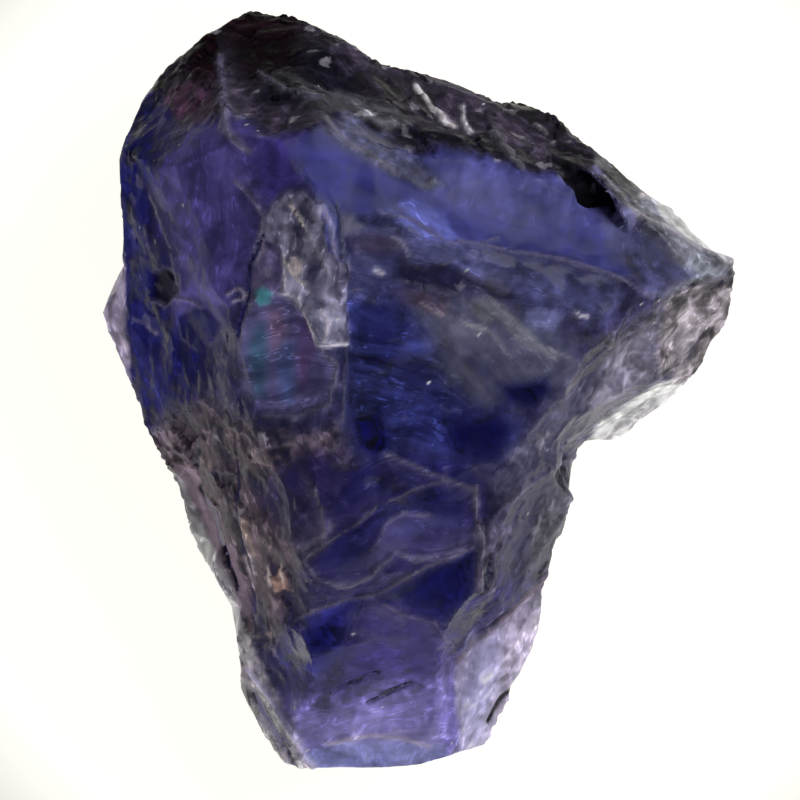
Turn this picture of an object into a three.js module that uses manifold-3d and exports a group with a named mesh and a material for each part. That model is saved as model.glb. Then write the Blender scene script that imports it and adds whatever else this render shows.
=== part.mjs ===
// A piece of iolite rough: one broken crystal of violet-blue cordierite, lying on its back.
// Units are millimetres. X runs right and Y up across the face that is looked at, and Z points out of it.
// The stone starts as a slab with the outline of the real one. It is then broken as the real one was: flat
// fracture faces and stepped ledges are taken off it, and shell-shaped scars are struck into what is left.
import * as THREE from "three";
import { ImprovedNoise } from "three/addons/math/ImprovedNoise.js";
import { TessellateModifier } from "three/addons/modifiers/TessellateModifier.js";
import { mergeVertices } from "three/addons/utils/BufferGeometryUtils.js";
import Module from "manifold-3d";

const wasm = await Module();
wasm.setup();

// Driving dimensions
const THICKNESS = 7.6;
const REACH = 30; // longer than the stone, for cutters that pass right through it
const FACE_EDGE = 0.585; // the longest edge left on a face, which the scars and the unevenness then bend
const WELD = 1e-4; // points closer than this are one point
const STRUCK_OFF = 0.8; // the most that one scar takes off

// The stone rests on a flat cleavage face this far above the slab's own back.
const CLEAVAGE_LEVEL = 0.12;

// Small scars lie all over the stone. Their width and depth each run from the first number to the second.
const SMALL_SCARS = { count: 190, wide: [0.9, 2.3], deep: [0.04, 0.13], seed: 7 };
const HEART = [-0.9, 0.8, 3.0]; // the point inside the stone that they are struck towards

// How the faces are roughened: each layer of unevenness has a size across and a height.
const UNEVENNESS = [
  { across: 1.9, height: 0.1 },
  { across: 0.8, height: 0.06 },
];

const IOLITE = new THREE.MeshStandardMaterial({
  name: "iolite",
  color: new THREE.Color(0.13, 0.12, 0.36),
  roughness: 0.25,
  metalness: 0,
});

// The outline, clockwise from the top corner
const OUTLINE = [
  [-3.16, 7.2], [-2.59, 7.05], [-2.12, 6.86], [-1.45, 6.48], [-0.73, 6.14], [0.07, 5.93], [1.02, 5.55],
  [1.72, 5.48], [2.43, 5.28], [2.96, 4.97], [3.27, 4.5], [4.28, 3.62], [4.88, 3.22], [5.42, 2.65],
  [5.88, 2.41], [5.92, 2.17], [5.9, 1.69], [5.71, 1.22], [5.39, 0.74], [5.23, 0.32], [4.91, -0.06],
  [4.44, -0.44], [3.88, -0.81], [3.39, -1.11], [2.95, -1.35], [2.88, -1.63], [2.75, -2.3], [2.57, -3.06],
  [2.44, -3.59], [2.3, -3.91], [2.32, -4.29], [2.1, -5], [1.87, -5.47], [1.7, -5.68], [1.62, -6.19],
  [1.52, -6.78], [1.04, -6.88], [-0.03, -7.12], [-0.79, -7.2], [-2.31, -7.24], [-2.63, -7.14],
  [-2.99, -6.78], [-3.38, -6], [-3.5, -5.72], [-3.51, -5.24], [-3.59, -4.77], [-3.66, -4.22],
  [-4.15, -3.44], [-4.4, -2.98], [-4.65, -2.38], [-4.95, -1.46], [-5.26, -1.3], [-5.45, -0.98],
  [-5.56, -0.69], [-5.86, -0.24], [-6.12, 0.3], [-6.22, 0.8], [-6.14, 1.4], [-5.94, 1.95], [-5.76, 2.41],
  [-5.71, 3.21], [-5.73, 4.35], [-5.63, 4.77], [-5.35, 5.4], [-4.97, 5.87], [-4.11, 6.67], [-3.64, 7.01],
];

// Fracture faces. Each holds the point at, looks towards a compass angle (0 is +X, 90 is +Y), and leans by
// an angle from level. One with a border is a ledge, broken out inside it only, and its wall opens by wall
// for each millimetre of height.
const FRONT_FACES = {
  greatFace: { at: [0.54, 2.64, 6.5], looks: 24, leans: 20 },
  spineTop: { at: [-2.4, 2.6, 7.3], looks: 250, leans: 5 },
  leftFace: { at: [-3.26, 2.64, 7.1], looks: 184, leans: 36 },
  farLeftFace: { at: [-5.3, 2.4, 5.27], looks: 182, leans: 71 },
  crown: { at: [0.35, 5.87, 4.0], looks: 66, leans: 58 },
  apexFace: { at: [-3.16, 7.1, 3.4], looks: 97, leans: 57 },
  cornerFace: { at: [-4.8, 6.1, 3.6], looks: 137, leans: 60 },
  beakTop: { at: [5.0, 3.25, 3.9], looks: 51, leans: 66 },
  lowerFront: { at: [-0.79, -0.97, 6.15], looks: 265, leans: 19 },
  toe: { at: [-0.6, -4.9, 4.55], looks: 268, leans: 43 },
  toeLeft: { at: [-3.1, -5.8, 2.5], looks: 200, leans: 61 },
  flank: { at: [-1.45, -0.59, 6.45], looks: 212, leans: 28 },
  flankSide: { at: [-3.58, -1.54, 5.1], looks: 203.5, leans: 63 },
  middleFace: {
    at: [0.54, 2.64, 6.45], looks: 315, leans: 19, wall: 0.35,
    border: [
      [-1.45, 2.7], [0.6, 3.4], [7, 3], [7, -9], [-2.4, -9], [-2.2, -3.4], [-1.9, -2.1], [-1.45, -0.6],
    ],
  },
  rightUpper: {
    at: [3.6, 1.03, 5.25], looks: 319, leans: 55, wall: 0.3,
    border: [[8, 3], [2.2, 3], [1.8, 0.3], [1.9, -1.0], [3.0, -1.5], [8, -2]],
  },
  beakLower: {
    at: [5.92, 2.17, 4.25], looks: 310, leans: 50, wall: 0.6,
    border: [[8, 3.2], [4.6, 2.6], [3.9, 1.6], [3.3, -0.4], [3.4, -2], [8, -2]],
  },
  rightFlank: {
    at: [1.11, -3.25, 5.0], looks: 331, leans: 61, wall: 0.3,
    border: [[3.3, 0.6], [1.2, 0.2], [-1, -4], [-1, -9], [8, -9], [8, -1.6], [3.6, -0.6]],
  },
  archLedge: {
    at: [-0.8, -3.4, 5.2], looks: 262, leans: 18, wall: 1.3,
    border: [
      [-2.2, -3.5], [-1.9, -3.75], [-1.15, -3.8], [-0.4, -3.3], [0.95, -2.7],
      [2, -2.6], [2, -9], [-4, -9], [-3, -4.3],
    ],
  },
  lowerLedge: {
    at: [-0.8, -4.1, 4.75], looks: 266, leans: 24, wall: 1.3,
    border: [[-2.9, -4.45], [-1.55, -3.95], [0, -3.4], [1.1, -2.85], [2, -2.8], [2, -9], [-4, -9]],
  },
  brightFlake: {
    at: [-1.9, 1.4, 7.0], looks: 300, leans: 7, wall: 0.5,
    border: [[-2.25, 2.0], [-1.2, 1.95], [-1.2, 0.85], [-2.0, 0.85]],
  },
  darkNotch: {
    at: [3.2, 3.75, 4.7], looks: 215, leans: 20, wall: 0.35,
    border: [[2.75, 4.35], [3.1, 4.2], [3.75, 3.15], [3.0, 3.65]],
  },
  leftBulge: {
    at: [-5.8, 1.5, 2.9], looks: 180, leans: 12, wall: 0.1,
    border: [[-7, 2.41], [-5.71, 2.41], [-5.72, 1.3], [-5.55, 0.5], [-5.4, -0.3], [-7, -0.3]],
  },
  beakShelf: {
    at: [4.4, -0.4, 1.8], looks: 300, leans: 14, wall: 0.2,
    border: [
      [2.95, -1.39], [3.2, -0.97], [3.87, -0.49], [4.44, -0.17], [5.1, 0.08], [6, 0.2], [6, -2], [3.4, -2],
    ],
  },
  toeRight: {
    at: [1.6, -5.2, 2.6], looks: 340, leans: 26, wall: 0.35,
    border: [[2.48, -3.59], [1.11, -4.62], [0.58, -5.15], [0.28, -6.86], [0.28, -8], [4, -8], [4, -3.59]],
  },
  flankRim: {
    at: [-4, -3.2, 2.4], looks: 200, leans: 10, wall: 0.7,
    border: [
      [-5, -1.39], [-4.49, -1.39], [-3.92, -2.96], [-3.52, -4], [-3.39, -4.77], [-3.49, -5.9], [-5, -5.9],
    ],
  },
};

const REAR_FACES = {
  rearLeft: { at: [-6.1, 1.5, 1.8], looks: 183, leans: 56 },
  rearTopLeft: { at: [-4.6, 6.2, 2.9], looks: 130, leans: 50 },
  rearTop: { at: [-2.0, 6.8, 2.8], looks: 82, leans: 44 },
  rearCrown: { at: [1.5, 5.4, 3.2], looks: 62, leans: 50 },
  underBeak: { at: [5.92, 2.17, 3.75], looks: 20, leans: 50 },
  underToe: { at: [-0.8, -7.2, 1.9], looks: 272, leans: 30 },
  rearLowerLeft: { at: [-4.39, -3.0, 1.6], looks: 199, leans: 50 },
  rearRight: {
    at: [2.88, -1.63, 1.2], looks: 335, leans: 40, wall: 1.2,
    border: [[-3, -1.9], [2.2, -2.0], [3.2, -1.7], [6, -2], [6, -9], [-3, -9]],
  },
  backTop: { at: [-1.5, 3.1, 0], looks: 98, leans: 13 },
  backBeak: { at: [1.3, 1.5, 0], looks: 12, leans: 14 },
  backToe: { at: [-0.9, -1.7, 0], looks: 262, leans: 10 },
  backLeft: { at: [-3.0, 1.0, 0], looks: 187, leans: 15 },
};

// Scars struck into one place: seen from above, or below for the rear, each is wide by two sizes, the first
// of them along its turn from +X, and deep.
const FRONT_SCARS = {
  greatFace: { at: [1.9, 3.35], wide: [6.4, 2.4], turn: -14, deep: 0.3 },
  rainbow: { at: [-2.5, 0.75], wide: [2.2, 2.7], turn: 0, deep: 0.16 },
  greyPane: { at: [1.35, 0.85], wide: [3.4, 2.4], turn: -28, deep: 0.2 },
  deepBlue: { at: [-0.3, -0.4], wide: [2.9, 2.6], turn: -20, deep: 0.24 },
  lens: { at: [0.4, -2.2], wide: [2.6, 1.6], turn: 20, deep: 0.16 },
  toe: { at: [-0.4, -5.5], wide: [3.4, 3.2], turn: 10, deep: 0.3 },
  toeLeft: { at: [-2.5, -5.6], wide: [2.2, 3.4], turn: 15, deep: 0.2 },
  leftFace: { at: [-4.1, 3.6], wide: [2.6, 3.6], turn: 0, deep: 0.2 },
  leftLow: { at: [-4.2, 1.0], wide: [2.2, 2.8], turn: -10, deep: 0.18 },
  apex: { at: [-3.5, 6.1], wide: [2.8, 2.0], turn: -10, deep: 0.22 },
  crownLeft: { at: [-1.5, 5.7], wide: [2.2, 1.9], turn: -20, deep: 0.24 },
  crownMiddle: { at: [0.3, 5.3], wide: [2.0, 1.6], turn: -25, deep: 0.22 },
  crownRight: { at: [2.1, 4.8], wide: [2.2, 1.5], turn: -25, deep: 0.18 },
  beak: { at: [4.7, 1.2], wide: [2.2, 2.2], turn: 30, deep: 0.2 },
  rightUpper: { at: [3.0, -0.2], wide: [1.8, 2.4], turn: -20, deep: 0.2 },
  rightLower: { at: [2.0, -2.7], wide: [1.8, 3.0], turn: -20, deep: 0.18 },
  flank: { at: [-2.9, -2.0], wide: [2.4, 2.0], turn: 30, deep: 0.2 },
  flankLow: { at: [-2.5, -3.5], wide: [1.9, 2.3], turn: 0, deep: 0.16 },
};

const REAR_SCARS = {
  beak: { at: [3.6, 1.6], wide: [4.4, 3.8], turn: 20, deep: 0.4 },
  toe: { at: [-0.9, -5.2], wide: [3.2, 3.0], turn: 0, deep: 0.3 },
  top: { at: [-1.5, 5.7], wide: [4.0, 2.6], turn: 0, deep: 0.35 },
  crown: { at: [2.5, 4.3], wide: [3.2, 2.2], turn: -35, deep: 0.3 },
  left: { at: [-4.5, 2.8], wide: [1.8, 3.4], turn: 0, deep: 0.2 },
  flank: { at: [-3.1, -2.4], wide: [1.8, 3.6], turn: 15, deep: 0.2 },
};

const EVERYWHERE = [[-REACH, -REACH], [REACH, -REACH], [REACH, REACH], [-REACH, REACH]];

function radians(degrees) {
  return THREE.MathUtils.degToRad(degrees);
}

// A closed geometry as a solid that can be cut
function solidOf(geometry) {
  const bare = geometry.clone();
  bare.deleteAttribute("normal");
  bare.deleteAttribute("uv");
  const merged = mergeVertices(bare, WELD);
  return new wasm.Manifold(
    new wasm.Mesh({
      numProp: 3,
      vertProperties: merged.attributes.position.array,
      triVerts: new Uint32Array(merged.index.array),
    }),
  );
}

function geometryOf(solid) {
  const mesh = solid.getMesh();
  return new THREE.BufferGeometry()
    .setAttribute("position", new THREE.BufferAttribute(mesh.vertProperties, 3))
    .setIndex(new THREE.BufferAttribute(mesh.triVerts, 1));
}

function prismOf(corners, bottom, top) {
  const shape = new THREE.Shape(corners.map(([x, y]) => new THREE.Vector2(x, y)));
  const prism = new THREE.ExtrudeGeometry(shape, { depth: top - bottom, bevelEnabled: false });
  return prism.translate(0, 0, bottom);
}

// What stands beyond a face, inside its border: above it where side is 1, and below it where side is -1
function beyondFace({ at, looks, leans, border = EVERYWHERE, wall = 0 }, side) {
  const prism = prismOf(border, Math.min(0, side * REACH), Math.max(0, side * REACH));
  const centre = border.reduce((sum, [x, y]) => sum.add(new THREE.Vector2(x, y)), new THREE.Vector2());
  centre.divideScalar(border.length);
  const fall = side * Math.tan(radians(leans));
  const slopeX = -fall * Math.cos(radians(looks));
  const slopeY = -fall * Math.sin(radians(looks));
  const points = prism.attributes.position;
  for (let i = 0; i < points.count; i++) {
    const p = new THREE.Vector3().fromBufferAttribute(points, i);
    const outward = new THREE.Vector3(p.x - centre.x, p.y - centre.y, 0).normalize();
    p.addScaledVector(outward, wall * Math.abs(p.z));
    p.z += at[2] + slopeX * (p.x - at[0]) + slopeY * (p.y - at[1]);
    points.setXYZ(i, p.x, p.y, p.z);
  }
  return solidOf(prism);
}

// Where a line from outside meets the surface, and which way the surface faces there
function meet(surface, from, towards) {
  const [met] = new THREE.Raycaster(from, towards).intersectObject(surface);
  return { point: met.point, out: met.face.normal };
}

// The stone's surface is pushed back to the floor of a scar, which is a shallow bowl with an oval rim.
function strike(points, { point, out }, { wide, turn, deep }) {
  const along = new THREE.Vector3(Math.cos(radians(turn)), Math.sin(radians(turn)), 0);
  along.addScaledVector(out, -along.dot(out)).normalize();
  const across = new THREE.Vector3().crossVectors(out, along);
  const p = new THREE.Vector3();
  for (let i = 0; i < points.count; i++) {
    p.fromBufferAttribute(points, i).sub(point);
    const share = Math.hypot((2 * p.dot(along)) / wide[0], (2 * p.dot(across)) / wide[1]);
    const floor = -deep * (1 - share * share);
    const above = p.dot(out) - floor;
    if (floor > 0 || above < 0 || above > STRUCK_OFF) continue;
    p.addScaledVector(out, -above).add(point);
    points.setXYZ(i, p.x, p.y, p.z);
  }
}

function strikeNamedScars(surface, points) {
  for (const [scars, side] of [[FRONT_SCARS, 1], [REAR_SCARS, -1]])
    for (const scar of Object.values(scars)) {
      const from = new THREE.Vector3(...scar.at, side * REACH);
      strike(points, meet(surface, from, new THREE.Vector3(0, 0, -side)), scar);
    }
}

// The small scars are struck from all round, in directions that a spiral on a ball spreads evenly.
function strikeSmallScars(surface, points) {
  const heart = new THREE.Vector3(...HEART);
  const spiralTurn = Math.PI * (3 - Math.sqrt(5));
  THREE.MathUtils.seededRandom(SMALL_SCARS.seed);
  const between = ([least, most]) => least + (most - least) * THREE.MathUtils.seededRandom();
  for (let i = 0; i < SMALL_SCARS.count; i++) {
    const polar = Math.acos(1 - (2 * i + 1) / SMALL_SCARS.count);
    const outward = new THREE.Vector3().setFromSphericalCoords(1, polar, i * spiralTurn);
    const from = heart.clone().addScaledVector(outward, REACH);
    const struck = meet(surface, from, outward.negate());
    const scar = {
      wide: [between(SMALL_SCARS.wide), between(SMALL_SCARS.wide)],
      turn: between([0, 180]),
      deep: between(SMALL_SCARS.deep),
    };
    if (struck.point.z > CLEAVAGE_LEVEL) strike(points, struck, scar);
  }
}

const noise = new ImprovedNoise();

// Every point is moved a little, by an amount that changes slowly from place to place.
function makeUneven(points) {
  const p = new THREE.Vector3();
  for (let i = 0; i < points.count; i++) {
    p.fromBufferAttribute(points, i);
    const moved = new THREE.Vector3();
    for (const { across, height } of UNEVENNESS) {
      const q = p.clone().divideScalar(across);
      moved.x += height * noise.noise(q.x, q.y, q.z);
      moved.y += height * noise.noise(q.y + REACH, q.z, q.x);
      moved.z += height * noise.noise(q.z, q.x, q.y + REACH);
    }
    points.setXYZ(i, p.x + moved.x, p.y + moved.y, p.z + moved.z);
  }
}

let broken = solidOf(prismOf([...OUTLINE].reverse(), 0, THICKNESS));
for (const face of Object.values(FRONT_FACES)) broken = broken.subtract(beyondFace(face, 1));
for (const face of Object.values(REAR_FACES)) broken = broken.subtract(beyondFace(face, -1));

const surface = new THREE.Mesh(geometryOf(broken));
const skin = mergeVertices(new TessellateModifier(FACE_EDGE, 12).modify(surface.geometry), WELD);
strikeNamedScars(surface, skin.attributes.position);
strikeSmallScars(surface, skin.attributes.position);
makeUneven(skin.attributes.position);
const stone = solidOf(skin).subtract(solidOf(prismOf(EVERYWHERE, -REACH, CLEAVAGE_LEVEL)));

const iolite = new THREE.Mesh(geometryOf(stone), IOLITE);
iolite.name = "iolite";

// The origin is on the surface it rests on, below the middle of its outline.
const box = new THREE.Box3().setFromObject(iolite);
const middle = box.getCenter(new THREE.Vector3());
iolite.position.set(-middle.x, -middle.y, -box.min.z);

const model = new THREE.Group();
model.add(iolite);
export default model;
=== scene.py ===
"""A rough, broken crystal of iolite, lying on its flat face on a pale floor and seen from above."""

import math
from collections import namedtuple

import bmesh
import bpy
import numpy as np
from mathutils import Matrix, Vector, noise
from mathutils.bvhtree import BVHTree


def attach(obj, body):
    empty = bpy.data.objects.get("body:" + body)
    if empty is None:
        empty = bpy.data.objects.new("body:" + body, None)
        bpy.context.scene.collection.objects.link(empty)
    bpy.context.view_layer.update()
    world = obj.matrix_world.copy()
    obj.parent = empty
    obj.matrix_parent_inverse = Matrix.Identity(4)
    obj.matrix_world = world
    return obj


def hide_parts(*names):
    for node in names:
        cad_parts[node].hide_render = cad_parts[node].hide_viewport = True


bl_info = {
    "name": "Rough iolite crystal",
    "version": (1, 0, 0),
    "blender": (4, 5, 0),
    "location": "3D View > Sidebar > Iolite",
    "description": "Makes a rough iolite crystal, its see-through material and its stage",
    "category": "Add Mesh",
}

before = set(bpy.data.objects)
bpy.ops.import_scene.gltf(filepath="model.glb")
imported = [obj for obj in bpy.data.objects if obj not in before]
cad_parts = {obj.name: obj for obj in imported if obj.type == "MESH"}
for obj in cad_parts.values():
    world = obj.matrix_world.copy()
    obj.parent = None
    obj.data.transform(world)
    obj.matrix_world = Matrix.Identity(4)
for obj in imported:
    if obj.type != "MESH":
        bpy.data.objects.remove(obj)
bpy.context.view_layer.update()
NODE = "iolite"
MM = 0.001

# Places on the stone are in millimetres as seen from above, X right and Y up, and colours are
# linear. A zone is a field of one look: its outline, how soft its edge is, how far a worn skin
# veils it, the skin's colour, into which some zones paint highlights and shade, the tint of the
# clear crystal in it, the height of its hackly steps, its roughness, how far it is raised, how
# much of the draped veils it shows, and the direction in degrees and the strength of its fine
# strands.
Zone = namedtuple(
    "Zone",
    "name outline edge veil worn glass hackly rough lift wisps comb",
    defaults=(0.25, 0, 0.2, (80, 0.2)),
)

# A line is a crack, a healed seam, a ridge or a painted highlight: its route, half width, veil,
# colour and height, and how far it fades to its left, or to its right where that is negative. A
# negative veil clears the skin.
Line = namedtuple("Line", "name route width veil worn lift fade", defaults=(0.03, 0))

# The stripes of the rainbow in the oval hollow: name, colour and outline.
RAINBOW = (
    (
        "rainbow_teal",
        (0.08, 0.15, 0.27),
        ((-3.05, 1.15), (-2.86, 1.3), (-2.75, 0.87), (-2.83, -0.06), (-3.02, -0.11), (-3.13, 0.5)),
    ),
    (
        "rainbow_rose",
        (0.24, 0.16, 0.3),
        ((-2.74, 1.48), (-2.52, 1.55), (-2.41, 1.15), (-2.47, 0.74), (-2.66, 0.74), (-2.77, 1.15)),
    ),
    (
        "rainbow_blue",
        (0.12, 0.16, 0.4),
        ((-2.51, 0.87), (-2.3, 0.87), (-2.23, 0.41), (-2.34, -0.19), (-2.53, -0.11), (-2.57, 0.41)),
    ),
    (
        "rainbow_magenta",
        (0.2, 0.12, 0.33),
        ((-2.22, 1.51), (-2, 1.4), (-1.89, 0.78), (-2.04, 0.13), (-2.19, 0), (-2.21, 0.78)),
    ),
)

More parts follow.
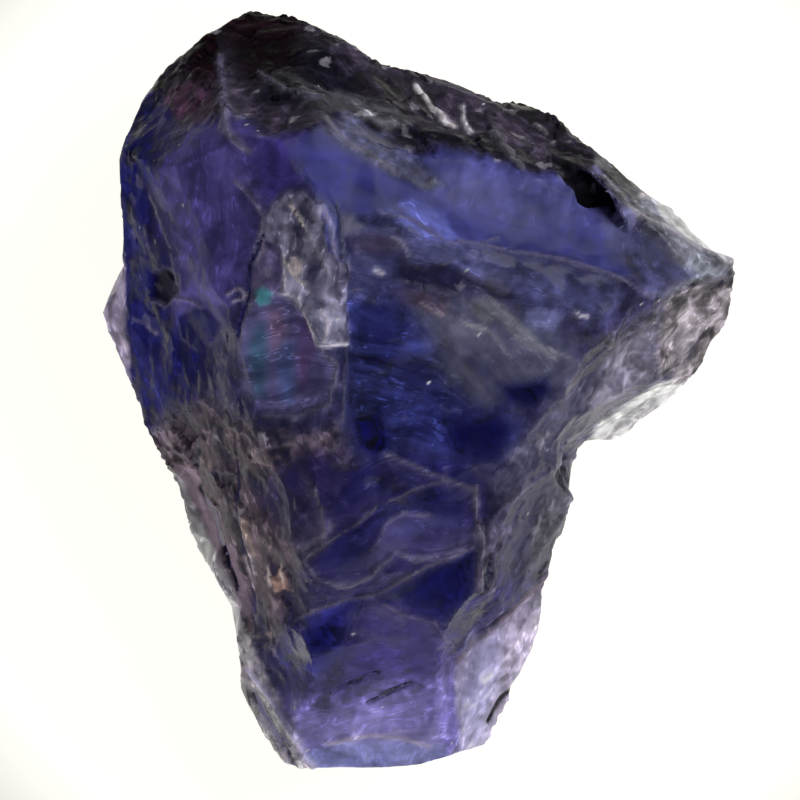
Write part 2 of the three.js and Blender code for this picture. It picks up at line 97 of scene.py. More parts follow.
ZONES = (
    Zone(
        "upper_middle",
        ((-3.52, 5.03), (-2.84, 4.86), (-2.14, 4.81), (-1.55, 4.94), (-2.06, 4.44), (-2.21, 3.78),
         (-2.85, 3.24), (-3.07, 3.72), (-3.25, 4.45)),
        edge=0.2, veil=0.75, worn=(0.073, 0.054, 0.309), glass=(0.3, 0.28, 0.6), hackly=0.012,
        comb=(60, 0.2),
    ),
    Zone(
        "great_face",
        ((-2.28, 4.44), (-1.92, 4.78), (-1.5, 4.9), (-1.18, 4.53), (-0.58, 4.43), (0.26, 4.5),
         (1.1, 4.48), (1.65, 4.2), (2.69, 4.04), (3.03, 3.51), (3.67, 3.22), (3.92, 2.75), (4.18, 2.05),
         (3.43, 2.24), (2.68, 2.49), (1.93, 2.6), (0.62, 2.75), (0.07, 3.06), (-0.67, 3.31),
         (-1.4, 3.12), (-1.81, 3.52)),
        edge=0.14, veil=0.7, worn=(0.077, 0.082, 0.425), glass=(0.3, 0.28, 0.75), hackly=0.001,
        rough=0.32, wisps=0, comb=(-12, 0.12),
    ),
    Zone(
        "face_glow",
        ((0.07, 4.2), (1, 4.35), (2.69, 3.92), (3.44, 3.31), (2.68, 2.93), (1.56, 3.16), (0.63, 3.46),
         (0.07, 3.73)),
        edge=0.4, veil=0.75, worn=(0.163, 0.165, 0.488), glass=(0.3, 0.28, 0.75), hackly=0.001,
        rough=0.32, wisps=0,
    ),
    Zone(
        "shadow_band",
        ((-1.31, 2.94), (-0.67, 3.28), (0.07, 3.03), (0.62, 2.72), (1.56, 2.63), (2.68, 2.42),
         (3.8, 2.01), (3.43, 1.34), (2.68, 1.52), (1.56, 1.71), (0.44, 2), (-0.67, 1.77),
         (-1.31, 1.88)),
        edge=0.3, veil=0.5, worn=(0.154, 0.158, 0.395), glass=(0.3, 0.28, 0.6), hackly=0.008, wisps=0.1,
        comb=(-14, 0.35),
    ),
    Zone(
        "violet_patch",
        ((-0.63, 3.39), (-0.26, 3.54), (0.29, 3.5), (0.55, 3.29), (0.77, 2.85), (0.55, 2.73),
         (0.07, 2.91), (-0.37, 3.13)),
        edge=0.1, veil=0.75, worn=(0.169, 0.188, 0.64), glass=(0.5, 0.5, 0.9), hackly=0.006, rough=0.3,
        lift=0.01, wisps=0.1, comb=(-25, 0.5),
    ),
    Zone(
        "slope",
        ((-0.37, 1.7), (0.44, 1.96), (1.22, 1.74), (2.31, 1.3), (3.02, 0.89), (3.11, 0.49),
         (2.61, -0.08), (1.94, -0.19), (1, -0.3), (0.48, 0.11), (0.26, 0.74), (-0.11, 1.15)),
        edge=0.35, veil=0.6, worn=(0.147, 0.148, 0.239), glass=(0.35, 0.4, 0.6), hackly=0.004,
        rough=0.22, wisps=0.12, comb=(-45, 0.25),
    ),
    Zone(
        "band_beige",
        ((1, 1.67), (1.37, 1.78), (1.6, 1.71), (1.6, 1.38), (1.34, 1.26), (1.11, 1.41)),
        edge=0.1, veil=0.7, worn=(0.13, 0.13, 0.16), glass=(0.4, 0.4, 0.4), hackly=0.006, wisps=0.1,
        comb=(-30, 0.3),
    ),
    Zone(
        "band_patch",
        ((1.52, 1.75), (1.78, 1.45), (2.12, 1.15), (2.42, 0.84), (2.72, 0.56), (2.42, 0.63),
         (2.05, 0.84), (1.71, 1.12), (1.56, 1.41)),
        edge=0.04, veil=0.8, worn=(0.19, 0.2, 0.26), glass=(0.4, 0.42, 0.5), hackly=0.004, lift=0.02,
        wisps=0, comb=(-45, 0.2),
    ),
    Zone(
        "pale_patch",
        ((2.08, 1.49), (2.4, 1.56), (2.72, 1.41), (2.61, 1.15), (2.27, 1.15), (2.08, 1.3)),
        edge=0.1, veil=0.7, worn=(0.2, 0.21, 0.45), glass=(0.5, 0.5, 0.8), hackly=0.004, wisps=0,
        comb=(10, 0.3),
    ),
    Zone(
        "warm_film",
        ((-0.43, 1.85), (0.16, 1.96), (0.63, 1.7), (0.55, 1.41), (0.16, 1.48), (-0.26, 1.66)),
        edge=0.15, veil=0.55, worn=(0.15, 0.11, 0.17), glass=(0.5, 0.4, 0.4), hackly=0.004, wisps=0.1,
        comb=(-20, 0.4),
    ),
    Zone(
        "warm_smear",
        ((-1.18, 2.83), (-0.71, 2.95), (-0.26, 2.8), (-0.15, 2.58), (-0.6, 2.51), (-1.11, 2.58)),
        edge=0.15, veil=0.6, worn=(0.13, 0.105, 0.2), glass=(0.5, 0.4, 0.5), hackly=0.004, wisps=0.1,
        comb=(-15, 0.3),
    ),
    Zone(
        "left_pale",
        ((-1.44, 3.23), (-1.18, 3.27), (-0.93, 3.05), (-1.15, 2.83), (-1.4, 2.86)),
        edge=0.06, veil=0.8, worn=(0.24, 0.24, 0.42), glass=(0.5, 0.5, 0.8), hackly=0.01, wisps=0,
        comb=(-40, 0.2),
    ),
    Zone(
        "dark_bank",
        ((-0.39, 2.43), (0.44, 2.37), (1.18, 2.15), (1.93, 1.75), (1.56, 1.6), (1.3, 1.82),
         (0.63, 1.85), (-0.12, 1.94), (-0.48, 2.14)),
        edge=0.12, veil=0.6, worn=(0.03, 0.026, 0.07), glass=(0.1, 0.1, 0.25), hackly=0.02, lift=-0.03,
        wisps=0.1, comb=(-15, 0.5),
    ),
    Zone(
        "ripples",
        ((-1.3, 1.7), (-0.37, 1.7), (0.26, 0.87), (0.48, 0.11), (1, -0.3), (1.79, -0.67), (1.98, -1.08),
         (1.19, -1.31), (0.45, -1.19), (-0.3, -1.01), (-0.86, -1.23), (-1.19, -0.89), (-1.3, -0.15)),
        edge=0.35, veil=0.3, worn=(0.066, 0.084, 0.381), glass=(0.12, 0.12, 0.5), hackly=0.005,
        rough=0.15, wisps=0.12, comb=(-12, 0.8),
    ),
    Zone(
        "window_left",
        ((-1.19, -0.52), (-0.76, -0.35), (-0.56, -0.71), (-0.52, -1.12), (-0.75, -1.23),
         (-1.04, -1.04)),
        edge=0.12, veil=0, worn=(0.02, 0.02, 0.3), glass=(0.004, 0.004, 0.85), hackly=0, rough=0.06,
        lift=-0.03, wisps=0, comb=(80, 0.02),
    ),
    Zone(
        "window_mid",
        ((0.63, -0.52), (1.56, -0.41), (1.79, -0.71), (1.57, -1.23), (0.82, -1.19), (0.56, -0.9)),
        edge=0.25, veil=0.1, worn=(0.02, 0.02, 0.15), glass=(0.01, 0.01, 0.22), hackly=0.003,
        rough=0.08, wisps=0.08, comb=(80, 0.05),
    ),
    Zone(
        "window_small",
        ((1.56, 0.13), (2.41, 0.24), (2.54, 0), (2.22, -0.34), (1.66, -0.24)),
        edge=0.18, veil=0.1, worn=(0.03, 0.03, 0.15), glass=(0.02, 0.02, 0.25), hackly=0.003,
        rough=0.08, lift=-0.02, wisps=0.05,
    ),
    Zone(
        "flank",
        ((3.15, 0.49), (3.48, 0.86), (4.42, 1.57), (4.6, 1.17), (4.53, 0.19), (3.88, -0.19),
         (3.39, -0.76), (3.27, -1.33), (3.08, -2.28), (2.86, -3.12), (2.67, -3.57), (1.98, -3.72),
         (1.58, -3.16), (1.42, -2.59), (1.31, -2.02), (1.57, -1.46), (1.94, -0.9), (2.31, -0.43),
         (2.72, 0.04)),
        edge=0.2, veil=0.6, worn=(0.082, 0.078, 0.13), glass=(0.4, 0.38, 0.6), hackly=0.028, rough=0.3,
        wisps=0.3, comb=(62, 0.5),
    ),
    Zone(
        "flank_pale",
        ((3.64, 0.79), (4.41, 1.17), (4.53, 0.27), (3.91, -0.11), (3.31, -0.53), (3.39, 0.23)),
        edge=0.3, veil=0.7, worn=(0.421, 0.383, 0.507), glass=(0.6, 0.58, 0.7), hackly=0.02, rough=0.3,
    ),
    Zone(
        "flank_edge",
        ((3.27, -1.25), (3.08, -2.28), (2.86, -3.12), (2.67, -3.57), (2.17, -3.38), (2.15, -2.42),
         (2.43, -1.66)),
        edge=0.15, veil=0.7, worn=(0.127, 0.124, 0.154), glass=(0.35, 0.35, 0.45), hackly=0.03,
        rough=0.3, wisps=0.3, comb=(70, 0.5),
    ),
    Zone(
        "left_face",
        ((-4.94, 4.52), (-4.02, 4.96), (-3.51, 4.83), (-3.15, 4.45), (-2.95, 3.54), (-2.85, 2.9),
         (-3.15, 2.26), (-3.34, 1.85), (-3.82, 1.16), (-4.26, 0.87), (-4.69, 1.17), (-4.51, 1.92),
         (-4.58, 2.51), (-4.83, 3.41)),
        edge=0.35, veil=0.8, worn=(0.142, 0.115, 0.442), glass=(0.2, 0.17, 0.5), hackly=0.006,
        wisps=0.3, comb=(78, 0.4),
    ),
    Zone(
        "streaks",
        ((-5.93, 2.47), (-5.89, 4.51), (-5.74, 5.08), (-5.24, 5.9), (-4.58, 5.26), (-4.66, 4.51),
         (-4.95, 3.78), (-4.8, 3.04), (-4.58, 2.44), (-4.6, 1.73), (-4.34, 0.98), (-3.77, 0.79),
         (-4.08, -0.15), (-5.17, -0.8), (-5.36, -0.38), (-5.59, 0.33)),
        edge=0.3, veil=0.85, worn=(0.018, 0.018, 0.171), glass=(0.08, 0.06, 0.35), hackly=0.015,
        rough=0.2, wisps=0.12, comb=(84, 0.8),
    ),
    Zone(
        "dark_hole",
        ((-5.03, 1.89), (-4.96, 2.23), (-4.7, 2.33), (-4.48, 2.18), (-4.47, 1.88), (-4.64, 1.62),
         (-4.88, 1.63)),
        edge=0.08, veil=1, worn=(0.003, 0.002, 0.03), glass=(0.01, 0.008, 0.1), hackly=0.004, rough=0.2,
        lift=-0.08, wisps=0,
    ),
    Zone(
        "grey_corner",
        ((-4.45, 1.4), (-4.04, 1.63), (-3.62, 1.3), (-3.74, 1.01), (-4.14, 0.79), (-4.42, 0.98)),
        edge=0.04, veil=0.85, worn=(0.017, 0.017, 0.158), glass=(0.1, 0.11, 0.35), hackly=0.003,
        rough=0.2, lift=0.03, wisps=0,
    ),
    Zone(
        "spine",
        ((-2.92, 2.88), (-2.77, 3.32), (-2.36, 3.71), (-2.06, 3.67), (-1.77, 3.43), (-1.44, 3.25),
         (-1.37, 2.79), (-1.26, 2.28), (-1.33, 1.7), (-1.3, 0.89), (-1.74, 0.85), (-2.15, 1.33),
         (-2.45, 1.52), (-2.86, 1.48), (-3.15, 1.7)),
        edge=0.12, veil=0.7, worn=(0.395, 0.368, 0.536), glass=(0.4, 0.38, 0.5), hackly=0.02, rough=0.3,
        lift=0.04, wisps=0.4, comb=(75, 0.9),
    ),
    Zone(
        "spine_shade",
        ((-3.12, 1.7), (-3.08, 2.26), (-2.85, 2.84), (-2.59, 2.69), (-2.46, 2.4), (-2.48, 1.85),
         (-2.82, 1.7)),
        edge=0.05, veil=0.6, worn=(0.174, 0.139, 0.291), glass=(0.3, 0.3, 0.4), hackly=0.02, rough=0.2,
        lift=-0.03,
    ),
    Zone(
        "spine_lilac",
        ((-1.73, 3.43), (-1.48, 3.31), (-1.35, 2.83), (-1.28, 2.39), (-1.44, 2.31), (-1.59, 2.61),
         (-1.66, 2.97)),
        edge=0.03, veil=0.8, worn=(0.108, 0.124, 0.463), glass=(0.5, 0.5, 0.7), hackly=0.02, lift=0.02,
    ),
    # Painted highlights: cream-coloured glints on the spine.
    Zone(
        "spine_cream",
        ((-2.33, 2.51), (-2.18, 2.54), (-2.07, 2.39), (-2.15, 2.14), (-2.29, 2.07), (-2.39, 2.29)),
        edge=0.03, veil=0.85, worn=(0.82, 0.693, 0.732), glass=(0.5, 0.5, 0.5), hackly=0.03, rough=0.3,
        lift=0.03,
    ),
    Zone(
        "plate",
        ((-2.09, 1.73), (-1.89, 1.84), (-1.59, 1.6), (-1.32, 1.48), (-1.3, 0.89), (-1.85, 0.87)),
        edge=0.03, veil=0.8, worn=(0.273, 0.264, 0.391), glass=(0.6, 0.6, 0.7), hackly=0.03, rough=0.2,
        lift=0.08, wisps=0.4, comb=(-50, 0.5),
    ),
    Zone(
        "oval",
        ((-2.85, 1.85), (-2.33, 1.7), (-2.06, 1.33), (-1.85, 0.85), (-1.52, 0.77), (-1.45, 0.37),
         (-1.67, -0.19), (-2.23, -0.41), (-2.87, -0.37), (-3.29, 0.04), (-3.35, 0.78), (-3.19, 1.48)),
        edge=0.08, veil=0.75, worn=(0.18, 0.163, 0.378), glass=(0.35, 0.42, 0.7), hackly=0.004,
        rough=0.2, lift=-0.04, wisps=0.1, comb=(2, 0.6),
    ),
    *(
        Zone(
            name, outline,
            edge=0.13, veil=0.75, worn=colour, glass=(0.35, 0.42, 0.7), hackly=0.004,
            rough=0.2, lift=-0.04, comb=(2, 0.6),
        )
        for name, colour, outline in RAINBOW
    ),
    Zone(
        "rainbow_spot",
        ((-2.97, 1.89), (-2.82, 1.96), (-2.67, 1.81), (-2.71, 1.63), (-2.89, 1.59), (-3, 1.74)),
        edge=0.05, veil=0.85, worn=(0.12, 0.42, 0.5), glass=(0.35, 0.6, 0.7), hackly=0.004, rough=0.2,
    ),
    Zone(
        "low_front",
        ((-1.32, -1.45), (-0.3, -1.08), (0.82, -1.31), (1.31, -2.02), (1.42, -2.59), (1.16, -3.15),
         (0.98, -3.9), (0.45, -4.24), (-0.3, -4.21), (-0.68, -3.98), (-1.33, -3.9), (-1.99, -3.61),
         (-2.06, -3.18), (-1.76, -2.86), (-1.7, -2.01)),
        edge=0.3, veil=0.35, worn=(0.023, 0.02, 0.165), glass=(0.08, 0.08, 0.4), hackly=0.008,
        rough=0.15, wisps=0.3, comb=(20, 0.5),
    ),
    Zone(
        "lower_left",
        ((-5.28, -1.02), (-4.89, -0.61), (-3.88, -0.15), (-3.29, -0.52), (-2.16, -0.82), (-1.5, -0.67),
         (-1.32, -1.45), (-1.7, -2.01), (-1.76, -2.86), (-2.06, -3.18), (-2.33, -3.92), (-2.73, -4.71),
         (-3.61, -4.71), (-3.8, -4.03), (-4.37, -3), (-4.75, -1.82)),
        edge=0.3, veil=0.8, worn=(0.158, 0.118, 0.15), glass=(0.1, 0.07, 0.14), hackly=0.05, rough=0.3,
        wisps=0.25, comb=(-70, 0.9),
    ),
    Zone(
        "lower_violet",
        ((-2.89, -1.65), (-2.16, -1.12), (-1.41, -1.08), (-1.38, -1.82), (-1.76, -2.86), (-2.05, -3.06),
         (-2.55, -2.58), (-2.89, -2.12)),
        edge=0.3, veil=0.6, worn=(0.036, 0.022, 0.108), glass=(0.1, 0.1, 0.4), hackly=0.02, wisps=0.5,
        comb=(-60, 0.4),
    ),
    Zone(
        "rose_plate",
        ((-4.64, -1.34), (-4.2, -1.49), (-4.02, -1.79), (-3.81, -2.21), (-3.61, -2.63), (-3.42, -3.12),
         (-3.24, -3.74), (-3.09, -4.24), (-3.36, -4.36), (-3.56, -3.98), (-3.82, -3.5), (-4.11, -2.94),
         (-4.34, -2.36), (-4.51, -1.88)),
        edge=0.04, veil=0.9, worn=(0.34, 0.255, 0.335), glass=(0.6, 0.45, 0.6), hackly=0.006, rough=0.2,
        comb=(-66, 0.4),
    ),
    # Painted light: this thin rim is painted near white, as if light shone through it.
    Zone(
        "left_rim",
        ((-4.6, -1.53), (-4.4, -1.88), (-4.18, -2.36), (-3.99, -2.84), (-3.76, -3.25), (-3.55, -3.69),
         (-3.38, -4.07), (-3.27, -4.4), (-3.13, -4.77), (-3.11, -5.21), (-3.2, -5.71), (-3.57, -5.66),
         (-3.68, -4.71), (-3.99, -3.95), (-4.37, -3.19), (-4.67, -2.24), (-4.83, -1.56)),
        edge=0.06, veil=0.8, worn=(1, 0.95, 1), glass=(1, 0.95, 1), hackly=0.006, rough=0.2,
        comb=(-65, 0.6),
    ),
    Zone(
        "cream",
        ((-2.75, -3.47), (-2.48, -3.29), (-2.31, -3.49), (-2.41, -3.79), (-2.64, -3.74)),
        edge=0.03, veil=0.95, worn=(0.76, 0.47, 0.4), glass=(0.5, 0.4, 0.4), hackly=0.03, rough=0.4,
        lift=0.06, wisps=0,
    ),
    Zone(
        "lens",
        ((-0.75, -2.87), (-0.6, -2.42), (-0.23, -2.2), (0.45, -2.28), (0.86, -2.55), (0.75, -2.96),
         (0.07, -3.18), (-0.45, -3.1)),
        edge=0.3, veil=0.5, worn=(0.028, 0.028, 0.253), glass=(0.4, 0.38, 0.8), hackly=0.004, rough=0.2,
        lift=0.03, wisps=0.5, comb=(10, 0.4),
    ),
    Zone(
        "window_low",
        ((-0.15, -1.87), (0.45, -1.64), (0.6, -1.87), (0.41, -2.09), (-0.04, -2.11)),
        edge=0.12, veil=0, worn=(0.02, 0.02, 0.2), glass=(0.03, 0.03, 0.35), hackly=0, rough=0.06,
        lift=-0.03, wisps=0.05,
    ),
    Zone(
        "window_knot",
        ((-0.23, -3.71), (0.26, -3.37), (0.86, -3.15), (0.97, -3.56), (0.86, -3.9), (0.49, -4.2),
         (-0.07, -4.13)),
        edge=0.15, veil=0.12, worn=(0.02, 0.02, 0.2), glass=(0.02, 0.02, 0.35), hackly=0.004,
        rough=0.06, lift=-0.03, wisps=0.1,
    ),
    Zone(
        "knot",
        ((1.09, -2.58), (1.35, -2.28), (1.69, -2.55), (1.62, -3.09), (1.44, -3.77), (1.09, -3.75),
         (1.2, -3.15)),
        edge=0.08, veil=0.8, worn=(0.09, 0.074, 0.13), glass=(0.4, 0.4, 0.5), hackly=0.06, rough=0.3,
        lift=0.05, wisps=0.6, comb=(-80, 0.5),
    ),
    Zone(
        "toe_window",
        ((-2.54, -5.09), (-2.18, -4.59), (-1.61, -4.02), (-1.09, -3.86), (-1.32, -4.66), (-1.62, -5.09),
         (-2.09, -5.21)),
        edge=0.3, veil=0.12, worn=(0.051, 0.051, 0.496), glass=(0.02, 0.02, 0.6), hackly=0.003,
        rough=0.1, wisps=0.1, comb=(40, 0.3),
    ),
    Zone(
        "toe_shell",
        ((-1.01, -4.01), (-0.58, -3.94), (0.08, -4.24), (0.57, -4.67), (0.69, -5.17), (0.08, -5.57),
         (-0.87, -5.37), (-1.44, -5.64), (-1.32, -4.86)),
        edge=0.3, veil=0.5, worn=(0.084, 0.062, 0.337), glass=(0.4, 0.37, 0.7), hackly=0.004, rough=0.2,
        lift=0.02, wisps=0.3, comb=(10, 0.3),
    ),
    Zone(
        "toe_glow",
        ((-2.2, -6.08), (-1.34, -5.94), (-0.58, -5.65), (0.27, -5.49), (0.88, -5.25), (0.85, -6.55),
         (0.27, -7.3), (-1.44, -7.53), (-2.2, -7.49), (-2.67, -6.55), (-2.59, -6.16)),
        edge=0.5, veil=0.6, worn=(0.36, 0.31, 0.88), glass=(0.75, 0.7, 1), hackly=0.006, rough=0.2,
        wisps=0.25, comb=(15, 0.4),
    ),
    # Painted highlight: the toe's foot is painted brighter.
    Zone(
        "toe_foot",
        ((-2.21, -6.87), (-1.44, -6.67), (-0.3, -6.63), (0.46, -6.71), (0.65, -7), (0.08, -7.3),
         (-1.44, -7.57), (-2.35, -7.49)),
        edge=0.15, veil=0.7, worn=(0.38, 0.4, 0.95), glass=(1, 0.95, 1), hackly=0.006, rough=0.2,
        lift=0.02, wisps=0.1,
    ),
    # Painted light: this thin rim is painted near white, as if light shone through it.
    Zone(
        "toe_rim",
        ((-3.61, -4.64), (-3.09, -5.02), (-2.82, -5.68), (-2.21, -6.73), (-1.82, -7.45), (-2.66, -7.45),
         (-3.3, -6.35), (-3.57, -5.66)),
        edge=0.15, veil=0.6, worn=(1, 0.89, 1), glass=(0.9, 0.85, 1), hackly=0.03, rough=0.2,
        comb=(-50, 0.6),
    ),
    Zone(
        "rear_mass",
        ((2.74, -3.5), (2.51, -3.91), (2.48, -4.28), (2.4, -4.98), (2.17, -5.51), (1.91, -6.23),
         (1.68, -6.9), (0.88, -7.03), (0.77, -5.86), (0.8, -5.17), (1.3, -4.72), (1.91, -4.08)),
        edge=0.08, veil=0.7, worn=(0.6, 0.53, 0.74), glass=(0.9, 0.8, 1), hackly=0.02, rough=0.3,
        wisps=0.3, comb=(68, 0.35),
    ),
    Zone(
        "toe_lilac",
        ((1.11, -4.72), (1.61, -4.58), (1.61, -5.28), (1.43, -6.13), (1.2, -6.72), (0.89, -6.89),
         (0.88, -5.87)),
        edge=0.2, veil=0.75, worn=(0.55, 0.52, 0.85), glass=(0.9, 0.9, 1), hackly=0.01,
        comb=(66, 0.25),
    ),
    Zone(
        "left_bulge",
        ((-5.54, 2.55), (-5.93, 2.4), (-6.16, 1.75), (-6.08, 0.8), (-5.78, -0.23), (-5.4, -0.72),
         (-5.24, -0.53), (-5.39, 0.14), (-5.51, 0.9), (-5.57, 1.57)),
        edge=0.06, veil=0.7, worn=(0.636, 0.532, 0.81), glass=(0.8, 0.75, 0.9), hackly=0.02, rough=0.3,
        wisps=0.1, comb=(84, 0.5),
    ),
    Zone(
        "beak_top",
        ((3.43, 4.72), (4.07, 4.3), (5.21, 3.58), (6.24, 2.55), (6.2, 2.25), (5.35, 2.03), (4.65, 1.69),
         (4.37, 1.87), (4.22, 2.43), (3.92, 2.95), (3.56, 3.68)),
        edge=0.15, veil=0.6, worn=(0.347, 0.363, 0.454), glass=(0.7, 0.72, 0.75), hackly=0.02,
        wisps=0.3, comb=(-40, 0.6),
    ),
    Zone(
        "beak_violet",
        ((3.53, 3.6), (3.92, 3.32), (4.34, 2.92), (4.83, 2.51), (5.26, 2.18), (4.65, 1.76),
         (4.26, 1.83), (3.77, 2.43), (3.44, 3.18)),
        edge=0.14, veil=0.85, worn=(0.109, 0.109, 0.264), glass=(0.5, 0.5, 0.7), hackly=0.01,
        comb=(-42, 0.4),
    ),
    # Painted light: the beak's thin edge is painted white, as if light shone through it.
    Zone(
        "beak_edge",
        ((4.49, 3.65), (5.21, 3.58), (6.24, 2.55), (5.84, 2.41), (5.34, 2.71), (4.73, 3.15)),
        edge=0.08, veil=0.95, worn=(1, 1, 1), glass=(1, 1, 1), hackly=0.015, wisps=0.1,
        comb=(-40, 0.4),
    ),
    Zone(
        "beak_side",
        ((6.26, 2.23), (6.22, 1.68), (5.97, 1.14), (5.63, 0.69), (5.52, 0.27), (5.08, 0.08),
         (4.71, 0.27), (4.54, 0.76), (4.56, 1.32), (4.7, 1.65), (5.35, 2)),
        edge=0.1, veil=0.75, worn=(0.337, 0.298, 0.332), glass=(0.7, 0.65, 0.65), hackly=0.05,
        rough=0.35, wisps=0.3, comb=(62, 0.8),
    ),
    # Painted light: the thin shelf is painted white, as if light shone through it.
    Zone(
        "shelf",
        ((5.52, 0.27), (5.18, -0.19), (4.64, -0.61), (4.07, -0.99), (3.5, -1.21), (3.32, -0.96),
         (3.57, -0.53), (4.21, -0.11), (4.69, 0.15)),
        edge=0.08, veil=0.95, worn=(1, 1, 1), glass=(1, 1, 1), hackly=0.02, rough=0.3, wisps=0.1,
        comb=(35, 0.6),
    ),
    # Painted shade and painted dark reflection over the crown's dark skin: its steep faces are made
    # near black.
    Zone(
        "crown",
        ((-5.13, 5.9), (-4.22, 7), (-3.06, 7.65), (-1.86, 7.3), (-0.49, 6.7), (0.84, 6.2), (1.91, 5.9),
         (3.05, 5.4), (3.62, 4.79), (3.92, 3.48), (3.68, 3.3), (3.41, 3.7), (2.92, 4.12), (2.41, 4.13),
         (1.56, 4.32), (1.15, 4.54), (0.26, 4.54), (-0.21, 4.43), (-0.52, 4.54), (-0.82, 4.97),
         (-1.19, 5.24), (-1.59, 5.17), (-1.92, 4.85), (-2.41, 4.74), (-2.84, 4.8), (-3.16, 5.02),
         (-3.52, 5.19), (-3.92, 5.01), (-4.5, 5.21)),
        edge=0.12, veil=0.85, worn=(0.052, 0.04, 0.066), glass=(0.03, 0.03, 0.06), hackly=0.06,
        rough=0.3, wisps=0.3, comb=(-25, 0.6),
    ),
    # Painted shade: the darkest band of the crown.
    Zone(
        "crown_black",
        ((-3.14, 6.84), (-1.8, 6.62), (-1.33, 6.03), (-0.86, 5.61), (-0.3, 5.27), (0.45, 4.88),
         (1.19, 4.71), (2.13, 4.38), (2.69, 4.11), (1.93, 4.02), (1, 4.46), (0.26, 4.48), (-0.3, 4.36),
         (-0.82, 4.77), (-1.59, 5.05), (-2.15, 5.33), (-2.85, 5.18), (-3.3, 5.84)),
        edge=0.2, veil=1.05, worn=(0.014, 0.012, 0.024), glass=(0.02, 0.02, 0.04), hackly=0.05,
        rough=0.3, wisps=0.05, comb=(-28, 0.5),
    ),
    Zone(
        "crown_silver",
        ((-2.51, 5.98), (-1.97, 5.65), (-1.33, 5.52), (-0.45, 5.38), (-0.11, 5.11), (-0.34, 4.94),
         (-0.82, 5.05), (-1.41, 5.14), (-1.93, 5.29), (-2.34, 5.57)),
        edge=0.1, veil=0.95, worn=(0.12, 0.115, 0.14), glass=(0.1, 0.1, 0.12), hackly=0.05, rough=0.3,
        lift=0.02, wisps=0.3, comb=(-30, 0.9),
    ),
    # Painted shadow, dark and reddish, over the apex.
    Zone(
        "apex",
        ((-4.37, 6.85), (-3.06, 7.65), (-1.97, 7.38), (-2.32, 6.22), (-2.88, 5.87), (-3.45, 6.01),
         (-3.93, 5.72), (-4.44, 5.88)),
        edge=0.35, veil=1, worn=(0.012, 0.004, 0.008), glass=(0.03, 0.005, 0.015), hackly=0.06,
        rough=0.3, wisps=0.05, comb=(-10, 0.4),
    ),
    Zone(
        "brown_patch",
        ((-4.74, 5.39), (-4.59, 5.65), (-4.25, 5.86), (-3.89, 5.72), (-3.8, 5.36), (-4.1, 5.05),
         (-4.45, 5.03)),
        edge=0.08, veil=0.7, worn=(0.092, 0.042, 0.084), glass=(0.3, 0.25, 0.3), hackly=0.05,
        rough=0.35, lift=0.02, wisps=0.5, comb=(60, 0.5),
    ),
    Zone(
        "grey_band",
        ((-1.73, 4.85), (-1.19, 5.2), (-0.58, 4.78), (-0.26, 4.43), (0.26, 4.15), (0.59, 3.85),
         (0.26, 3.74), (-0.3, 3.91), (-1, 4.27), (-1.4, 4.53)),
        edge=0.1, veil=0.65, worn=(0.121, 0.124, 0.246), glass=(0.4, 0.42, 0.5), hackly=0.02,
        lift=-0.02, comb=(-38, 0.3),
    ),
    Zone(
        "beak_dusk",
        ((3.31, 4.36), (3.53, 4.13), (3.87, 3.83), (4.12, 3.48), (4.3, 3.18), (4.19, 2.99),
         (3.86, 3.19), (3.64, 3.53), (3.38, 3.9), (3.15, 4.16)),
        edge=0.05, veil=0.8, worn=(0.15, 0.145, 0.28), glass=(0.2, 0.2, 0.4), hackly=0.03, lift=-0.02,
        comb=(-48, 0.8),
    ),
    Zone(
        "beak_outer",
        ((3.39, 4.72), (4.07, 4.3), (4.72, 3.73), (4.68, 3.54), (4.21, 3.65), (3.87, 3.79),
         (3.53, 4.13), (3.31, 4.36)),
        edge=0.05, veil=0.8, worn=(0.157, 0.157, 0.17), glass=(0.5, 0.5, 0.5), hackly=0.03,
        comb=(-40, 0.6),
    ),
    Zone(
        "notch",
        ((2.57, 4.41), (2.87, 4.34), (3.19, 4.09), (3.36, 3.94), (3.54, 3.73), (3.69, 3.49),
         (3.83, 3.23), (3.6, 3.45), (3.45, 3.53), (3.22, 3.46), (3.07, 3.58), (2.95, 3.73), (2.8, 3.88),
         (2.67, 4.11)),
        edge=0.03, veil=1.1, worn=(0.006, 0.006, 0.01), glass=(0.003, 0.003, 0.006), hackly=0.012,
        rough=0.3, lift=-0.1, wisps=0, comb=(-50, 0.3),
    ),
)

